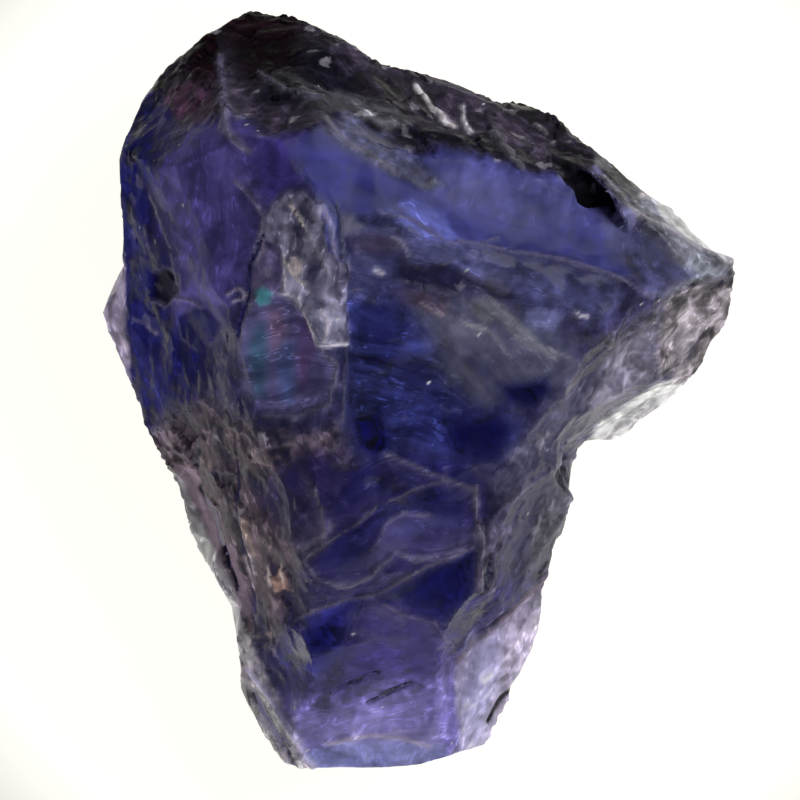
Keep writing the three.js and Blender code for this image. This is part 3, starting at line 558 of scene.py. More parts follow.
LINES = (
    Line(
        "left_rib",
        ((-3.71, 6.33), (-3.59, 5.72), (-3.49, 5.18), (-3.57, 4.84), (-3.32, 4.62), (-3.11, 4.45)),
        width=0.061, veil=0.8, worn=(0.22, 0.188, 0.318), lift=0.05, fade=0.15,
    ),
    Line(
        "left_rib_low",
        ((-3.35, 3.87), (-2.97, 3.54), (-2.85, 3.24), (-2.89, 2.88)),
        width=0.034, veil=0.8, worn=(0.25, 0.216, 0.339), fade=0.12,
    ),
    Line(
        "left_vein",
        ((-4.99, 3.64), (-4.76, 3.11), (-4.57, 2.66), (-4.53, 2.03)),
        width=0.032, veil=0.6, worn=(0.2, 0.179, 0.339), lift=0.02, fade=0.15,
    ),
    Line(
        "spine_foot",
        ((-2.85, 2.88), (-3.08, 2.33), (-3.14, 1.7), (-3.31, 1.06)),
        width=0.032, veil=-0.5, worn=(0.02, 0.019, 0.032), lift=-0.06,
    ),
    Line(
        "spine_edge",
        ((-1.48, 3.44), (-1.37, 2.7), (-1.32, 1.7), (-1.32, 0.59), (-1.38, -0.52)),
        width=0.034, veil=0.4, worn=(0.2, 0.188, 0.297), lift=0.04,
    ),
    Line(
        "plate_edge",
        ((-2.15, 1.77), (-2, 1.36), (-1.87, 0.87), (-1.3, 0.89)),
        width=0.032, veil=1.1, worn=(0.95, 0.874, 1), lift=0.04,
    ),
    Line(
        "white_crack",
        ((-2.46, 2.55), (-2.46, 1.85), (-2.22, 1.73)),
        width=0.032, veil=1.1, worn=(0.95, 0.874, 1),
    ),
    Line(
        "spine_cracks",
        ((-2.29, 3.53), (-2.03, 3.07), (-1.81, 2.61), (-1.59, 2.15)),
        width=0.034, veil=0.8, worn=(0.35, 0.31, 0.382), lift=0.04,
    ),
    Line(
        "face_ridge",
        ((-0.71, 3.35), (-0.02, 3.14), (0.62, 2.75), (1.37, 2.71), (2.68, 2.49), (3.8, 2.12),
         (4.41, 1.76)),
        width=0.032, veil=0.8, worn=(0.22, 0.197, 0.382), lift=0.02,
    ),
    Line(
        "beak_ridge",
        ((3.49, 4.05), (4.19, 3.31), (4.67, 3.11), (5.34, 2.67), (6.01, 2.47)),
        width=0.041, veil=0.9, worn=(0.6, 0.564, 0.636), lift=0.05,
    ),
    Line(
        "beak_fold",
        ((6.03, 2.26), (5.35, 2.03), (4.65, 1.69), (4.22, 1.17), (3.49, 0.79), (3.15, 0.45),
         (2.73, -0.15)),
        width=0.034, veil=0.5, worn=(0.3, 0.263, 0.339), lift=0.04,
    ),
    Line(
        "band_long",
        ((1.41, 1.74), (1.71, 1.38), (2.27, 0.86), (2.87, 0.63)),
        width=0.034, veil=0.9, worn=(0.28, 0.273, 0.35), lift=0.02, fade=-0.2,
    ),
    Line(
        "band_short",
        ((0.85, 1.34), (1.3, 1.15), (1.75, 0.63)),
        width=0.036, veil=0.9, worn=(0.24, 0.235, 0.307), lift=0.02, fade=-0.3,
    ),
    Line(
        "low_arc",
        ((-0.6, -1.12), (-0.11, -1.36), (0.63, -1.64), (1.01, -1.79), (1.2, -2.13)),
        width=0.041, veil=0.75, worn=(0.17, 0.15, 0.254), fade=-0.25,
    ),
    Line(
        "low_spur",
        ((-0.45, -1.98), (0.17, -1.77), (0.56, -1.61)),
        width=0.032, veil=0.7, worn=(0.15, 0.141, 0.212), fade=-0.2,
    ),
    Line(
        "low_loop",
        ((-2.09, -3.14), (-1.87, -3.51), (-1.33, -3.63), (-0.82, -3.44), (-0.45, -3.14)),
        width=0.041, veil=0.75, worn=(0.18, 0.16, 0.233), lift=0.04, fade=0.35,
    ),
    Line(
        "main_vein",
        ((-2.77, -4.79), (-2.28, -4.3), (-1.33, -3.84), (-0.67, -3.71), (0.17, -3.29), (1.1, -2.88)),
        width=0.048, veil=0.8, worn=(0.17, 0.15, 0.223), lift=0.05, fade=0.3,
    ),
    Line(
        "low_left_vein",
        ((-1.9, -1.82), (-1.72, -2.24), (-1.76, -2.86), (-2.09, -3.18)),
        width=0.034, veil=0.7, worn=(0.17, 0.15, 0.191), fade=-0.3,
    ),
    Line(
        "low_cross",
        ((-0.78, -2.16), (-1.32, -2.57), (-1.76, -2.87)),
        width=0.034, veil=0.7, worn=(0.16, 0.141, 0.18), fade=-0.3,
    ),
    Line(
        "toe_arc",
        ((-0.6, -3.94), (-0.26, -4.17), (0.34, -4.32), (0.57, -4.71), (0.8, -5.02)),
        width=0.034, veil=0.8, worn=(0.2, 0.169, 0.297), lift=0.04, fade=-0.45,
    ),
    Line(
        "lens_top",
        ((-0.78, -2.95), (-0.6, -2.5), (-0.26, -2.24), (0.26, -2.32)),
        width=0.034, veil=0.7, worn=(0.2, 0.179, 0.339), fade=-0.35,
    ),
    Line(
        "lens_foot",
        ((-0.41, -3.06), (0, -3.18), (0.45, -3.07), (0.86, -2.92)),
        width=0.048, veil=0.75, worn=(0.25, 0.216, 0.382), fade=0.35,
    ),
    Line(
        "toe_dash_left",
        ((-1.59, -5.72), (-1.25, -5.45), (-0.72, -5.29)),
        width=0.034, veil=-0.4, worn=(0.03, 0.028, 0.127), lift=-0.05,
    ),
    Line(
        "toe_dash_right",
        ((-0.91, -5.88), (-0.49, -5.69), (-0.11, -5.55)),
        width=0.034, veil=-0.4, worn=(0.05, 0.047, 0.148), lift=-0.05,
    ),
    Line(
        "toe_band",
        ((-1.67, -6.67), (-0.87, -6.51), (-0.26, -6.59), (0.23, -6.75)),
        width=0.061, veil=0.8, worn=(0.65, 0.564, 0.848), lift=0.04, fade=0.12,
    ),
    Line(
        "flank_groove",
        ((-3.39, -1.32), (-3.32, -2.23), (-3.23, -3.19), (-3.05, -4.19)),
        width=0.034, veil=-0.4, worn=(0.03, 0.019, 0.032), lift=-0.07,
    ),
    Line(
        "flank_rib",
        ((-3.32, -1.88), (-3.2, -2.9), (-3.04, -3.42)),
        width=0.032, veil=0.9, worn=(0.5, 0.432, 0.509), lift=0.05,
    ),
    Line(
        "flank_groove_left",
        ((-4.13, -1.8), (-3.85, -2.29), (-3.67, -2.98), (-3.44, -3.78)),
        width=0.032, veil=-0.3, worn=(0.05, 0.038, 0.053), lift=-0.05,
    ),
    # Painted highlights: the crown's real cracks are painted near white as bright glints, here and in
    # the next line.
    Line(
        "crown_crack",
        ((0.04, 5.8), (0.15, 5.61), (0.3, 5.38), (0.49, 5.2), (0.71, 5.04)),
        width=0.05, veil=1.15, worn=(1, 0.94, 1), lift=0.05,
    ),
    Line(
        "crown_crack_right",
        ((0.87, 5.35), (0.92, 5.11), (1.01, 4.88)),
        width=0.036, veil=1.1, worn=(0.8, 0.752, 0.848), lift=0.04,
    ),
    Line(
        "crown_fold",
        ((1.46, 4.8), (1.71, 4.44), (1.97, 4.15)),
        width=0.048, veil=0.8, worn=(0.2, 0.188, 0.233), lift=0.06,
    ),
    Line(
        "crown_fold_left",
        ((-2.92, 5.93), (-2.43, 5.51), (-1.78, 5.42)),
        width=0.061, veil=0.6, worn=(0.14, 0.122, 0.191), lift=0.06,
    ),
    Line(
        "grey_streak",
        ((-1.68, 5.05), (-1.22, 4.55), (-0.45, 4.17)),
        width=0.034, veil=0.8, worn=(0.25, 0.235, 0.297), lift=0.02, fade=-0.15,
    ),
    Line(
        "knot_vein",
        ((1.12, -1.8), (1.16, -2.3), (1.27, -2.87), (1.16, -3.68)),
        width=0.048, veil=0.8, worn=(0.24, 0.207, 0.297), lift=0.05,
    ),
    Line(
        "rim_ledge",
        ((2.55, -3.52), (1.95, -4.01), (1.34, -4.57), (0.8, -5.1)),
        width=0.061, veil=0.8, worn=(0.26, 0.207, 0.286), lift=0.06, fade=0.2,
    ),
    Line(
        "rear_line",
        ((1.91, -5.66), (1.62, -5.91), (1.39, -6.33)),
        width=0.032, veil=-0.4, worn=(0.1, 0.094, 0.127), lift=-0.05,
    ),
    Line(
        "flank_line",
        ((3.12, -1.21), (2.48, -1.47), (1.95, -1.84), (1.39, -2.4)),
        width=0.061, veil=0.6, worn=(0.2, 0.179, 0.276), lift=0.05, fade=0.2,
    ),
    Line(
        "oval_edge",
        ((-1.85, 0.85), (-1.47, 0.48), (-1.63, -0.19), (-2.16, -0.39), (-2.87, -0.41)),
        width=0.041, veil=0.6, worn=(0.2, 0.188, 0.276), lift=0.05, fade=0.1,
    ),
    Line(
        "oval_left",
        ((-2.93, 1.78), (-3.19, 1.37), (-3.27, 0.87)),
        width=0.032, veil=0.6, worn=(0.2, 0.179, 0.265),
    ),
    Line(
        "brown_vein",
        ((-5.11, -1), (-4.39, -1.14), (-3.8, -1.48), (-3.31, -1.62)),
        width=0.041, veil=0.7, worn=(0.2, 0.16, 0.212), lift=0.04,
    ),
    Line(
        "brown_vein_mid",
        ((-3.98, -0.19), (-3.34, -0.75), (-2.87, -1.01), (-2.16, -0.97)),
        width=0.048, veil=0.6, worn=(0.2, 0.16, 0.212), lift=0.04,
    ),
    Line(
        "spine_glint",
        ((-2.3, 3.45), (-2.16, 3.29), (-2.01, 3.05)),
        width=0.035, veil=1.1, worn=(0.75, 0.658, 0.636),
    ),
    Line(
        "spine_glint_low",
        ((-2.41, 2.4), (-2.28, 2.18), (-2.07, 1.99)),
        width=0.035, veil=1.1, worn=(0.8, 0.714, 0.7),
    ),
    Line(
        "spine_right",
        ((-1.73, 3.41), (-1.57, 3.01), (-1.44, 2.39), (-1.35, 1.7)),
        width=0.04, veil=0.95, worn=(0.45, 0.414, 0.689),
    ),
    Line(
        "spine_left",
        ((-2.85, 2.84), (-2.85, 2.62), (-2.96, 2.4)),
        width=0.035, veil=0.9, worn=(0.3, 0.263, 0.371),
    ),
    Line(
        "toe_ridge",
        ((-3.17, -5.28), (-2.86, -5.77), (-2.51, -6.29), (-2.15, -6.83), (-1.99, -7.2)),
        width=0.05, veil=0.9, worn=(0.75, 0.677, 1), lift=0.05,
    ),
    Line(
        "toe_groove",
        ((-3.1, -5.78), (-2.79, -6.31), (-2.44, -6.87), (-2.33, -7.15)),
        width=0.045, veil=0.4, worn=(0.06, 0.056, 0.148), lift=-0.05,
    ),
    Line(
        "left_fold",
        ((-3.48, 5.14), (-3.43, 4.64), (-3.21, 4.49)),
        width=0.035, veil=0.9, worn=(0.3, 0.263, 0.445),
    ),
    Line(
        "left_fold_mid",
        ((-3.33, 3.91), (-3.14, 3.72), (-2.88, 3.43)),
        width=0.035, veil=0.9, worn=(0.26, 0.226, 0.424),
    ),
    Line(
        "left_hook",
        ((-3.49, 1.82), (-3.27, 1.96), (-3.15, 1.78), (-3.38, 1.67)),
        width=0.04, veil=0.95, worn=(0.42, 0.357, 0.53), lift=0.04,
    ),
    Line(
        "glint_low_a",
        ((-3.2, -2.41), (-3.16, -2.7), (-3.06, -3.05)),
        width=0.05, veil=1, worn=(0.5, 0.376, 0.35),
    ),
    Line(
        "glint_low_b",
        ((-3.25, -3.11), (-3.16, -3.54), (-3.03, -4.16)),
        width=0.03, veil=1, worn=(0.62, 0.536, 0.594),
    ),
    Line(
        "glint_low_c",
        ((-2.81, -3.28), (-2.74, -3.61)),
        width=0.032, veil=1.1, worn=(0.9, 0.771, 0.795), lift=0.02,
    ),
    Line(
        "glint_low_d",
        ((-2.54, -3.27), (-2.47, -3.56)),
        width=0.032, veil=1.1, worn=(0.9, 0.771, 0.795), lift=0.02,
    ),
    Line(
        "glint_low_e",
        ((-3.25, -4.59), (-3.01, -4.67), (-2.69, -4.55)),
        width=0.05, veil=0.9, worn=(0.42, 0.348, 0.403),
    ),
    Line(
        "glint_low_f",
        ((-4.06, -1.23), (-3.84, -1.42)),
        width=0.035, veil=1, worn=(0.5, 0.404, 0.403),
    ),
    Line(
        "glint_low_g",
        ((-3.18, -1.12), (-2.98, -1.27), (-2.78, -1.33)),
        width=0.035, veil=1, worn=(0.45, 0.376, 0.403),
    ),
    Line(
        "crown_glint",
        ((1.68, 5.36), (1.81, 5.29)),
        width=0.035, veil=1, worn=(0.5, 0.47, 0.551),
    ),
    Line(
        "crown_glint_right",
        ((2.23, 5.06), (2.46, 4.91)),
        width=0.035, veil=1, worn=(0.5, 0.47, 0.551),
    ),
    Line(
        "crown_seam",
        ((1.35, 4.87), (1.61, 4.68), (1.79, 4.53), (1.97, 4.21)),
        width=0.04, veil=0.9, worn=(0.2, 0.188, 0.244),
    ),
    Line(
        "left_loop",
        ((-5, 1.74), (-4.76, 1.63), (-4.47, 1.77), (-4.2, 1.72), (-3.97, 1.61)),
        width=0.035, veil=1, worn=(0.2, 0.179, 0.339), lift=0.04,
    ),
    Line(
        "left_stroke",
        ((-5.06, 1.26), (-4.86, 1.12)),
        width=0.03, veil=1, worn=(0.26, 0.235, 0.424), lift=0.02,
    ),
    # Painted highlights: bright glints on small flakes, here and in the next line.
    Line(
        "flake_right",
        ((2.98, 1.51), (3.07, 1.43), (3.2, 1.41)),
        width=0.03, veil=1.1, worn=(0.9, 0.846, 1),
    ),
    Line(
        "flake_left",
        ((-0.76, 2.27), (-0.63, 2.19)),
        width=0.045, veil=1.1, worn=(0.62, 0.583, 0.742),
    ),
    Line(
        "flake_mid",
        ((0.93, 1.3), (1.15, 1.24), (1.26, 1.19)),
        width=0.03, veil=1, worn=(0.4, 0.395, 0.445), lift=0.02,
    ),
    Line(
        "flake_warm",
        ((0.07, 1.64), (0.29, 1.48), (0.5, 1.39)),
        width=0.03, veil=0.9, worn=(0.33, 0.273, 0.329), lift=0.02,
    ),
    Line(
        "ridge_branch",
        ((1.15, 2.7), (1.37, 2.86), (1.56, 2.9)),
        width=0.03, veil=0.7, worn=(0.2, 0.188, 0.36), lift=0.02,
    ),
    Line(
        "left_mark",
        ((-0.45, 2.84), (-0.26, 2.69), (-0.17, 2.51)),
        width=0.03, veil=0.9, worn=(0.3, 0.282, 0.445), lift=0.02,
    ),
    Line(
        "plate_fold",
        ((-1.74, 1.55), (-1.63, 1.29), (-1.7, 0.96)),
        width=0.035, veil=1, worn=(0.75, 0.677, 0.827), lift=0.02,
    ),
    # Painted highlights: near-white lines along the shelf's edge and, next, the beak's crest.
    Line(
        "shelf_edge",
        ((3.59, -0.84), (4.1, -0.61), (4.77, -0.11), (5.29, 0.19)),
        width=0.04, veil=1.1, worn=(1, 0.94, 1),
    ),
    Line(
        "beak_crest",
        ((4.21, 3.69), (4.95, 3.39), (5.52, 2.93), (5.99, 2.49)),
        width=0.05, veil=1.1, worn=(1, 0.94, 1),
    ),
)

# How the surface looks where no zone says otherwise.
PLAIN = Zone(
    "plain",
    (),
    edge=0, veil=0.65, worn=(0.05, 0.045, 0.13), glass=(0.3, 0.28, 0.6),
    hackly=0.025, rough=0.2, wisps=0.3, comb=(80, 0.3),
)

# The noises that break the surface up. Each has the size of its lumps in millimetres and a shift,
# which keeps any two of them from being alike.
LUMPS = (0.9, 0.0)
RAGGED = (0.35, 5.0)
GRAVEL = (0.13, 9.0)
SWAY_X = (0.7, 11.0)
SWAY_Y = (0.7, 17.0)
COARSE_STEPS = (0.85, 0.0)
SMALL_STEPS = (0.34, 3.0)
FINE_STEPS = (0.18, 7.0)
BROAD_STRANDS = (0.3, 0.0)
FINE_STRANDS = (0.11, 2.0)

# What bends the hackly steps and the strands: how far, how wide the bends are, and three shifts.
STEP_BENDS = (0.12, 0.45, (21.0, 27.0, 33.0))
STRAND_BENDS = (0.35, 1.3, (51.0, 57.0, 63.0))

# How much longer than wide the strands are, and the share of the broad ones.
STRAND_STRETCH = 6.0
FINE_STRAND_STRETCH = 8.0
BROAD_STRAND_SHARE = 0.6

# How far inside a zone a point has to be to feel its strands, and to take over their direction.
TOUCHED = 0.01
MOSTLY_INSIDE = 0.5

# A zone's edge sways more where its surface is rougher: the least, for each millimetre of step
# height, and the most.
ZONE_SWAY = (0.04, 3, 0.15)
EDGE_RAGGED_SHARE = 0.6
EDGE_GRAVEL_SHARE = 0.2

# Zones and lines belong to the side seen from above, and fade out where the surface turns under.
UNDER = (-0.35, 0.0)

# Grit runs from 0 on a smooth face to 1 on a hackly one.
LEAST_GRIT = 0.12
FULL_GRIT_STEP = 0.05

# How much of each noise goes into the skin's cover, its brightness and the height of the steps.
VEIL_SHARES = {
    "ragged": 0.12, "gravel": 0.12, "lumps": 0.15,
    "coarse_tone": 0.2, "small_tone": 0.15, "fine_tone": 0.1,
}
TONE_SHARES = {"coarse_tone": 0.5, "small_tone": 0.35, "fine_tone": 0.25}
PATCH_SHARES = {"lumps": 0.2, "ragged": 0.25}
STEP_SHARES = {"coarse": 1.0, "small": 0.45, "fine": 0.15, "lumps": 0.4}
COMB_VEIL = 0.12
COMB_TONE = 0.2

# Painted highlights on small faces: their colour, how strongly it shows and which tones have it.
GLINT_COLOUR = (0.36, 0.335, 0.4)
GLINT_SHARE = 0.6
GLINT_TONES = (0.95, 0.99)
GLINT_LUMPS = 0.3

# Pale seams between the hackly faces: how wide, how strong the small ones are beside the coarse
# ones, which noise has them, and what they do to the cover and the brightness.
COARSE_SEAM = 0.05
SMALL_SEAM = 0.035
SMALL_SEAM_SHARE = 0.6
SEAM_NOISE = (-0.1, 0.4)
SEAM_VEIL = 0.4
SEAM_TONE = 0.9

# Veils draped inside the stone, each with one crisp edge: strength, noise, and how far it fades
# on its crisp and on its soft side.
DRAPES = (
    (0.7, (1.1, 41.0), 0.025, 0.16),
    (0.2, (0.55, 47.0), 0.03, 0.12),
)
WISP_COLOUR = (0.14, 0.125, 0.19)
WISP_SHARE = 0.25
WISP_TONE = 0.5

# Lines sway too, in millimetres, their width is ragged, and a fade starts weaker than the line.
LINE_SWAY = 0.07
LINE_RAGGED = 0.5
FADE_SHARE = 0.45

# Bright specks, painted sparkle highlights: the chance of one anywhere and on grit, the noise
# that gathers them, and their look.
SPARKLE_SEED = 11
SPARKLE_CHANCE = 0.0002
SPARKLE_CHANCE_ON_GRIT = 0.002
SPARKLE_NOISE = (0.1, 0.4)
SPARKLE_FACES_UP = 0.3
SPARKLE_COLOUR = (0.75, 0.74, 0.76)
SPARKLE_VEIL = 1.2

# Heights of the fine relief, its limits inwards and outwards, and what lies still on the floor.
STRAND_HEIGHT = 0.012
GRAVEL_HEIGHT = 0.004
DEEPEST = -0.3
HIGHEST = 0.13
RESTING = 0.03

# Places from which the curved ripples of a shell-like break run, the wave and its height. They
# show on smooth faces only.
RIPPLE_CENTRES = (
    ((-1.2, 9.5), 0.42, 0.003),
    ((6.5, 4.0), 0.55, 0.003),
)
RIPPLE_BEND = 0.1
RIPPLED_STEP = 0.02

# The even mesh: how close points are joined, in millimetres, and how far up a face has to look
# to be made finer.
JOIN = 0.0005
FACES_UP = 0.05

# The crystal's optics, and the fine noises of its skin: clouds in each metre, strands in each unit
# of the field that they follow, and how high both stand, in metres.
IOR = 1.54
SKIN_ROUGHNESS = 0.4
SKIN_SHINE = 0.01
SMOOTHEST = 0.02
CLOUD_SCALE = 4200.0
STRAND_SCALE = 5.0
BUMP_HEIGHT = 0.00003

# The stage, in metres. The floor glows under the stone: how far it reaches, and how strong it is
# at each share of that. A lamp has a name, a place, a size and a power.
FLOOR_HALF = 0.6
FLOOR_BELOW = 0.00002
GLOW_REACH = 0.04
GLOW = ((0.0, 1.0), (0.25, 0.98), (0.28, 0.75), (0.32, 0.3), (0.4, 0.1), (1.0, 0.05))
LAMPS = (
    ("key", (0.24, 0.14, 0.22), 0.24, 0.52),
    ("fill", (0.06, -0.30, 0.10), 0.24, 0.42),
)
LAMP_TARGET = (0, 0, 0.003)
LENS_MM = 284.0
SENSOR_MM = 36.0
NEAREST_SEEN = 0.005
CAMERA_PLACE = (-0.0003, -0.00015, 0.123)


# Settings that a user would change


class IoliteStoneSettings(bpy.types.PropertyGroup):
    """Sizes of the stone's fine surface."""

    grain: bpy.props.FloatProperty(
        name="Mesh grain",
        description="Edge length of the mesh underneath. The faces seen from above are half of it",
        default=0.000118,
        min=0.00006,
        precision=5,
        unit="LENGTH",
    )
    crease: bpy.props.FloatProperty(
        name="Crease",
        description="Angle between two faces from which their edge is drawn sharp",
        default=math.radians(24),
        min=0.0,
        max=math.pi,
        subtype="ANGLE",
    )


class IoliteColourSettings(bpy.types.PropertyGroup):
    """Colours of the stone."""

    body: bpy.props.FloatVectorProperty(
        name="Body colour",
        description="What is left of white light after a few millimetres of the crystal",
        default=(0.03, 0.02, 0.47),
        min=0.0,
        max=1.0,
        size=3,
        subtype="COLOR",
    )
    depth: bpy.props.FloatProperty(
        name="Depth of colour",
        description="How strongly each metre of the crystal absorbs light",
        default=420.0,
        min=0.0,
        subtype="UNSIGNED",
    )


# Shader maths


class Value:
    """A shader socket that can be used in a Python expression, which adds its Math nodes."""

    def __init__(self, nodes, socket):
        self.nodes = nodes
        self.socket = socket

    def _maths(self, operation, first, second=0.5):
        node = self.nodes.add("ShaderNodeMath", {"operation": operation}, {0: first, 1: second})
        return Value(self.nodes, node.outputs[0])

    def __add__(self, other):
        return self._maths("ADD", self, other)

    def __radd__(self, other):
        return self._maths("ADD", other, self)

    def __sub__(self, other):
        return self._maths("SUBTRACT", self, other)

    def __rsub__(self, other):
        return self._maths("SUBTRACT", other, self)

    def __mul__(self, other):
        return self._maths("MULTIPLY", self, other)

    def __rmul__(self, other):
        return self._maths("MULTIPLY", other, self)


class Shader:
    """The nodes of one new material."""

    def __init__(self, name):
        self.material = bpy.data.materials.new(name)
        self.material.use_nodes = True
        self.tree = self.material.node_tree
        self.tree.nodes.clear()

    def add(self, kind, settings=None, sockets=None):
        """Adds a node: its settings are set first, then the values or links of its sockets."""
        node = self.tree.nodes.new(kind)
        for name, value in (settings or {}).items():
            if name == "stops":
                set_stops(node.color_ramp, value)
            else:
                setattr(node, name, value)
        for name, value in (sockets or {}).items():
            if isinstance(value, Value):
                value = value.socket
            if isinstance(value, bpy.types.NodeSocket):
                self.tree.links.new(value, node.inputs[name])
            else:
                node.inputs[name].default_value = value
        return node

    def value(self, kind, settings=None, sockets=None, output=0):
        """A number that a new node gives, ready for an expression."""
        return Value(self, self.add(kind, settings, sockets).outputs[output])

    def attribute(self, name, output="Fac"):
        """What the mesh stores under a name, as a socket."""
        return self.add("ShaderNodeAttribute", {"attribute_name": name}).outputs[output]

    def noise(self, where, scale):
        """Smooth noise with fine detail, read at the places given."""
        return self.value("ShaderNodeTexNoise", None, {"Vector": where, "Scale": scale, "Detail": 3.0})

    def ramp(self, factor, *stops):
        """A number that follows its stops, each a place and a height."""
        return self.value(
            "ShaderNodeValToRGB",
            {"stops": [(place, (height, height, height, 1)) for place, height in stops]},
            {"Fac": factor},
        )

    def scale_colour(self, colour, factor):
        """A colour times a number."""
        scale = self.add("ShaderNodeVectorMath", {"operation": "SCALE"}, {0: colour, "Scale": factor})
        return scale.outputs[0]


def set_stops(ramp, stops):
    """Gives a colour ramp its stops, each a place and a colour."""
    while len(ramp.elements) < len(stops):
        ramp.elements.new(1.0)
    for element, (place, colour) in zip(ramp.elements, stops):
        element.position = place
        element.color = colour


def crystal_material(colours):
    """See-through violet-blue crystal under a thin, broken skin of worn and cracked stone, whose colour
    also carries painted highlights and painted shade.
    """
    s = Shader("iolite_crystal")
    where = s.add("ShaderNodeTexCoord").outputs["Object"]
    veil = Value(s, s.attribute("veil"))
    cloud = s.noise(where, CLOUD_SCALE)
    broken = (cloud - 0.5) * Value(s, s.attribute("grit"))
    strand = s.noise(s.attribute("flow", "Vector"), STRAND_SCALE)
    combed = Value(s, s.attribute("combed"))
    strands = (strand - 0.5) * combed
    thin = s.ramp(strand, (0.455, 0.0), (0.48, 1.0), (0.505, 0.0))
    in_tufts = s.ramp(cloud, (0.45, 0.0), (0.6, 1.0))
    hairs = thin * in_tufts * combed
    relief = broken + strands * 0.8
    bump = s.add("ShaderNodeBump", None, {"Strength": 0.5, "Distance": BUMP_HEIGHT, "Height": relief})
    cover = s.ramp(veil + broken + strands * 0.9 + hairs * 0.3, (0.12, 0.0), (0.93, 0.96))
    gleam = broken * 2.4 + strands * 3.0 + hairs * 2.0 + 1.0
    clear = s.add(
        "ShaderNodeBsdfPrincipled",
        None,
        {
            "Base Color": s.attribute("glass", "Color"),
            "Roughness": s.attribute("rough"),
            "IOR": IOR,
            "Transmission Weight": 1.0,
            "Normal": bump.outputs[0],
        },
    )
    worn = s.add(
        "ShaderNodeBsdfPrincipled",
        None,
        {
            "Base Color": s.scale_colour(s.attribute("worn", "Color"), gleam),
            "Roughness": SKIN_ROUGHNESS,
            "IOR": IOR,
            "Specular IOR Level": SKIN_SHINE,
            "Normal": bump.outputs[0],
        },
    )
    both = s.add("ShaderNodeMixShader", None, {0: cover, 1: clear.outputs[0], 2: worn.outputs[0]})
    absorb = s.add(
        "ShaderNodeVolumeAbsorption",
        None,
        {"Color": (*colours.body, 1), "Density": colours.depth},
    )
    s.add(
        "ShaderNodeOutputMaterial",
        None,
        {"Surface": both.outputs[0], "Volume": absorb.outputs[0]},
    )
    return s.material


# The stone's mesh


def cad_surface(node):
    """The faces of a CAD node in millimetres, joined at their edges."""
    source = bmesh.new()
    source.from_mesh(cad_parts[node].data)
    bmesh.ops.scale(source, vec=(1 / MM, 1 / MM, 1 / MM), verts=source.verts)
    bmesh.ops.remove_doubles(source, verts=source.verts, dist=JOIN)
    return source


def even_mesh(source, grain):
    """A closed mesh of small, even faces around the faces given."""
    mesh = bpy.data.meshes.new("iolite_fine")
    source.to_mesh(mesh)
    carrier = bpy.data.objects.new("iolite_fine", mesh)
    bpy.context.scene.collection.objects.link(carrier)
    remesh = carrier.modifiers.new("Even mesh", "REMESH")
    remesh.mode = "VOXEL"
    remesh.voxel_size = grain / MM
    graph = bpy.context.evaluated_depsgraph_get()
    even = bpy.data.meshes.new_from_object(carrier.evaluated_get(graph))
    bpy.data.objects.remove(carrier)
    return even


def draw_onto(surface, bm):
    """Moves every vertex to the nearest point of a surface."""
    for vertex in bm.verts:
        vertex.co = surface.find_nearest(vertex.co)[0]


def fine_mesh(node, grain):
    """An even mesh on the surface of a CAD node, finer on top. Its points are in millimetres."""
    source = cad_surface(node)
    surface = BVHTree.FromBMesh(source)
    mesh = even_mesh(source, grain)
    source.free()
    bm = bmesh.new()
    bm.from_mesh(mesh)
    draw_onto(surface, bm)
    bm.normal_update()
    seen = {edge for face in bm.faces if face.normal.z > FACES_UP for edge in face.edges}
    bmesh.ops.subdivide_edges(bm, edges=list(seen), cuts=1, use_grid_fill=True)
    draw_onto(surface, bm)
    bmesh.ops.triangulate(bm, faces=[face for face in bm.faces if len(face.verts) > 4])
    bm.normal_update()
    bm.to_mesh(mesh)
    bm.free()
    return mesh


# Fields over the stone's points


def noise_over(points, across, shift=0.0):
    """Smooth noise at each point, from -1 to 1, with lumps of the given size."""
    return np.array([noise.noise(q) for q in (points / across + shift).tolist()])


def bends(points, far, across, shifts):
    """How smooth noise moves each point, up to a distance each way."""
    return far * np.column_stack([noise_over(points, across, shift) for shift in shifts])


def hackly_steps(points, across, shift=0.0):
    """Small flat faces, as a hackly break has them: height, tone and distance from the border."""
    heights = np.empty(len(points))
    tones = np.empty(len(points))
    borders = np.empty(len(points))
    for i, q in enumerate((points / across + shift).tolist()):
        near, centres = noise.voronoi(q)
        chance = noise.cell_vector(centres[0] * 37.0) * 2.0 - Vector((1, 1, 1))
        heights[i] = chance.dot(Vector(q) - centres[0]) + 0.5 * chance.z
        tones[i] = chance.x
        borders[i] = (near[1] - near[0]) * across
    return heights, tones, borders


def turned(points, degrees, stretch):
    """Points whose pattern is drawn out along a direction in the XY plane."""
    angle = math.radians(degrees)
    along = points[:, 0] * math.cos(angle) + points[:, 1] * math.sin(angle)
    across = -points[:, 0] * math.sin(angle) + points[:, 1] * math.cos(angle)
    return np.column_stack((along / stretch, across, points[:, 2] / stretch))


def to_segments(route, x, y):
    """How far each point is from a route of straight pieces, and its side: left is 1, right -1."""
    nearest = np.full(len(x), np.inf)
    side = np.ones(len(x))
    for (ax, ay), (bx, by) in zip(route, route[1:]):
        dx = bx - ax
        dy = by - ay
        share = np.clip(((x - ax) * dx + (y - ay) * dy) / (dx * dx + dy * dy), 0, 1)
        far = np.hypot(x - ax - share * dx, y - ay - share * dy)
        side = np.where(far < nearest, np.sign(dx * (y - ay) - dy * (x - ax)), side)
        nearest = np.minimum(nearest, far)
    return nearest, side


def inside_by(outline, x, y):
    """How far each point lies inside an outline, negative where it is outside."""
    closed = outline + outline[:1]
    within = np.zeros(len(x), bool)
    for (ax, ay), (bx, by) in zip(closed, closed[1:]):
        if ay != by:
            within ^= ((ay > y) != (by > y)) & (x < (bx - ax) * (y - ay) / (by - ay) + ax)
    return np.where(within, 1, -1) * to_segments(closed, x, y)[0]


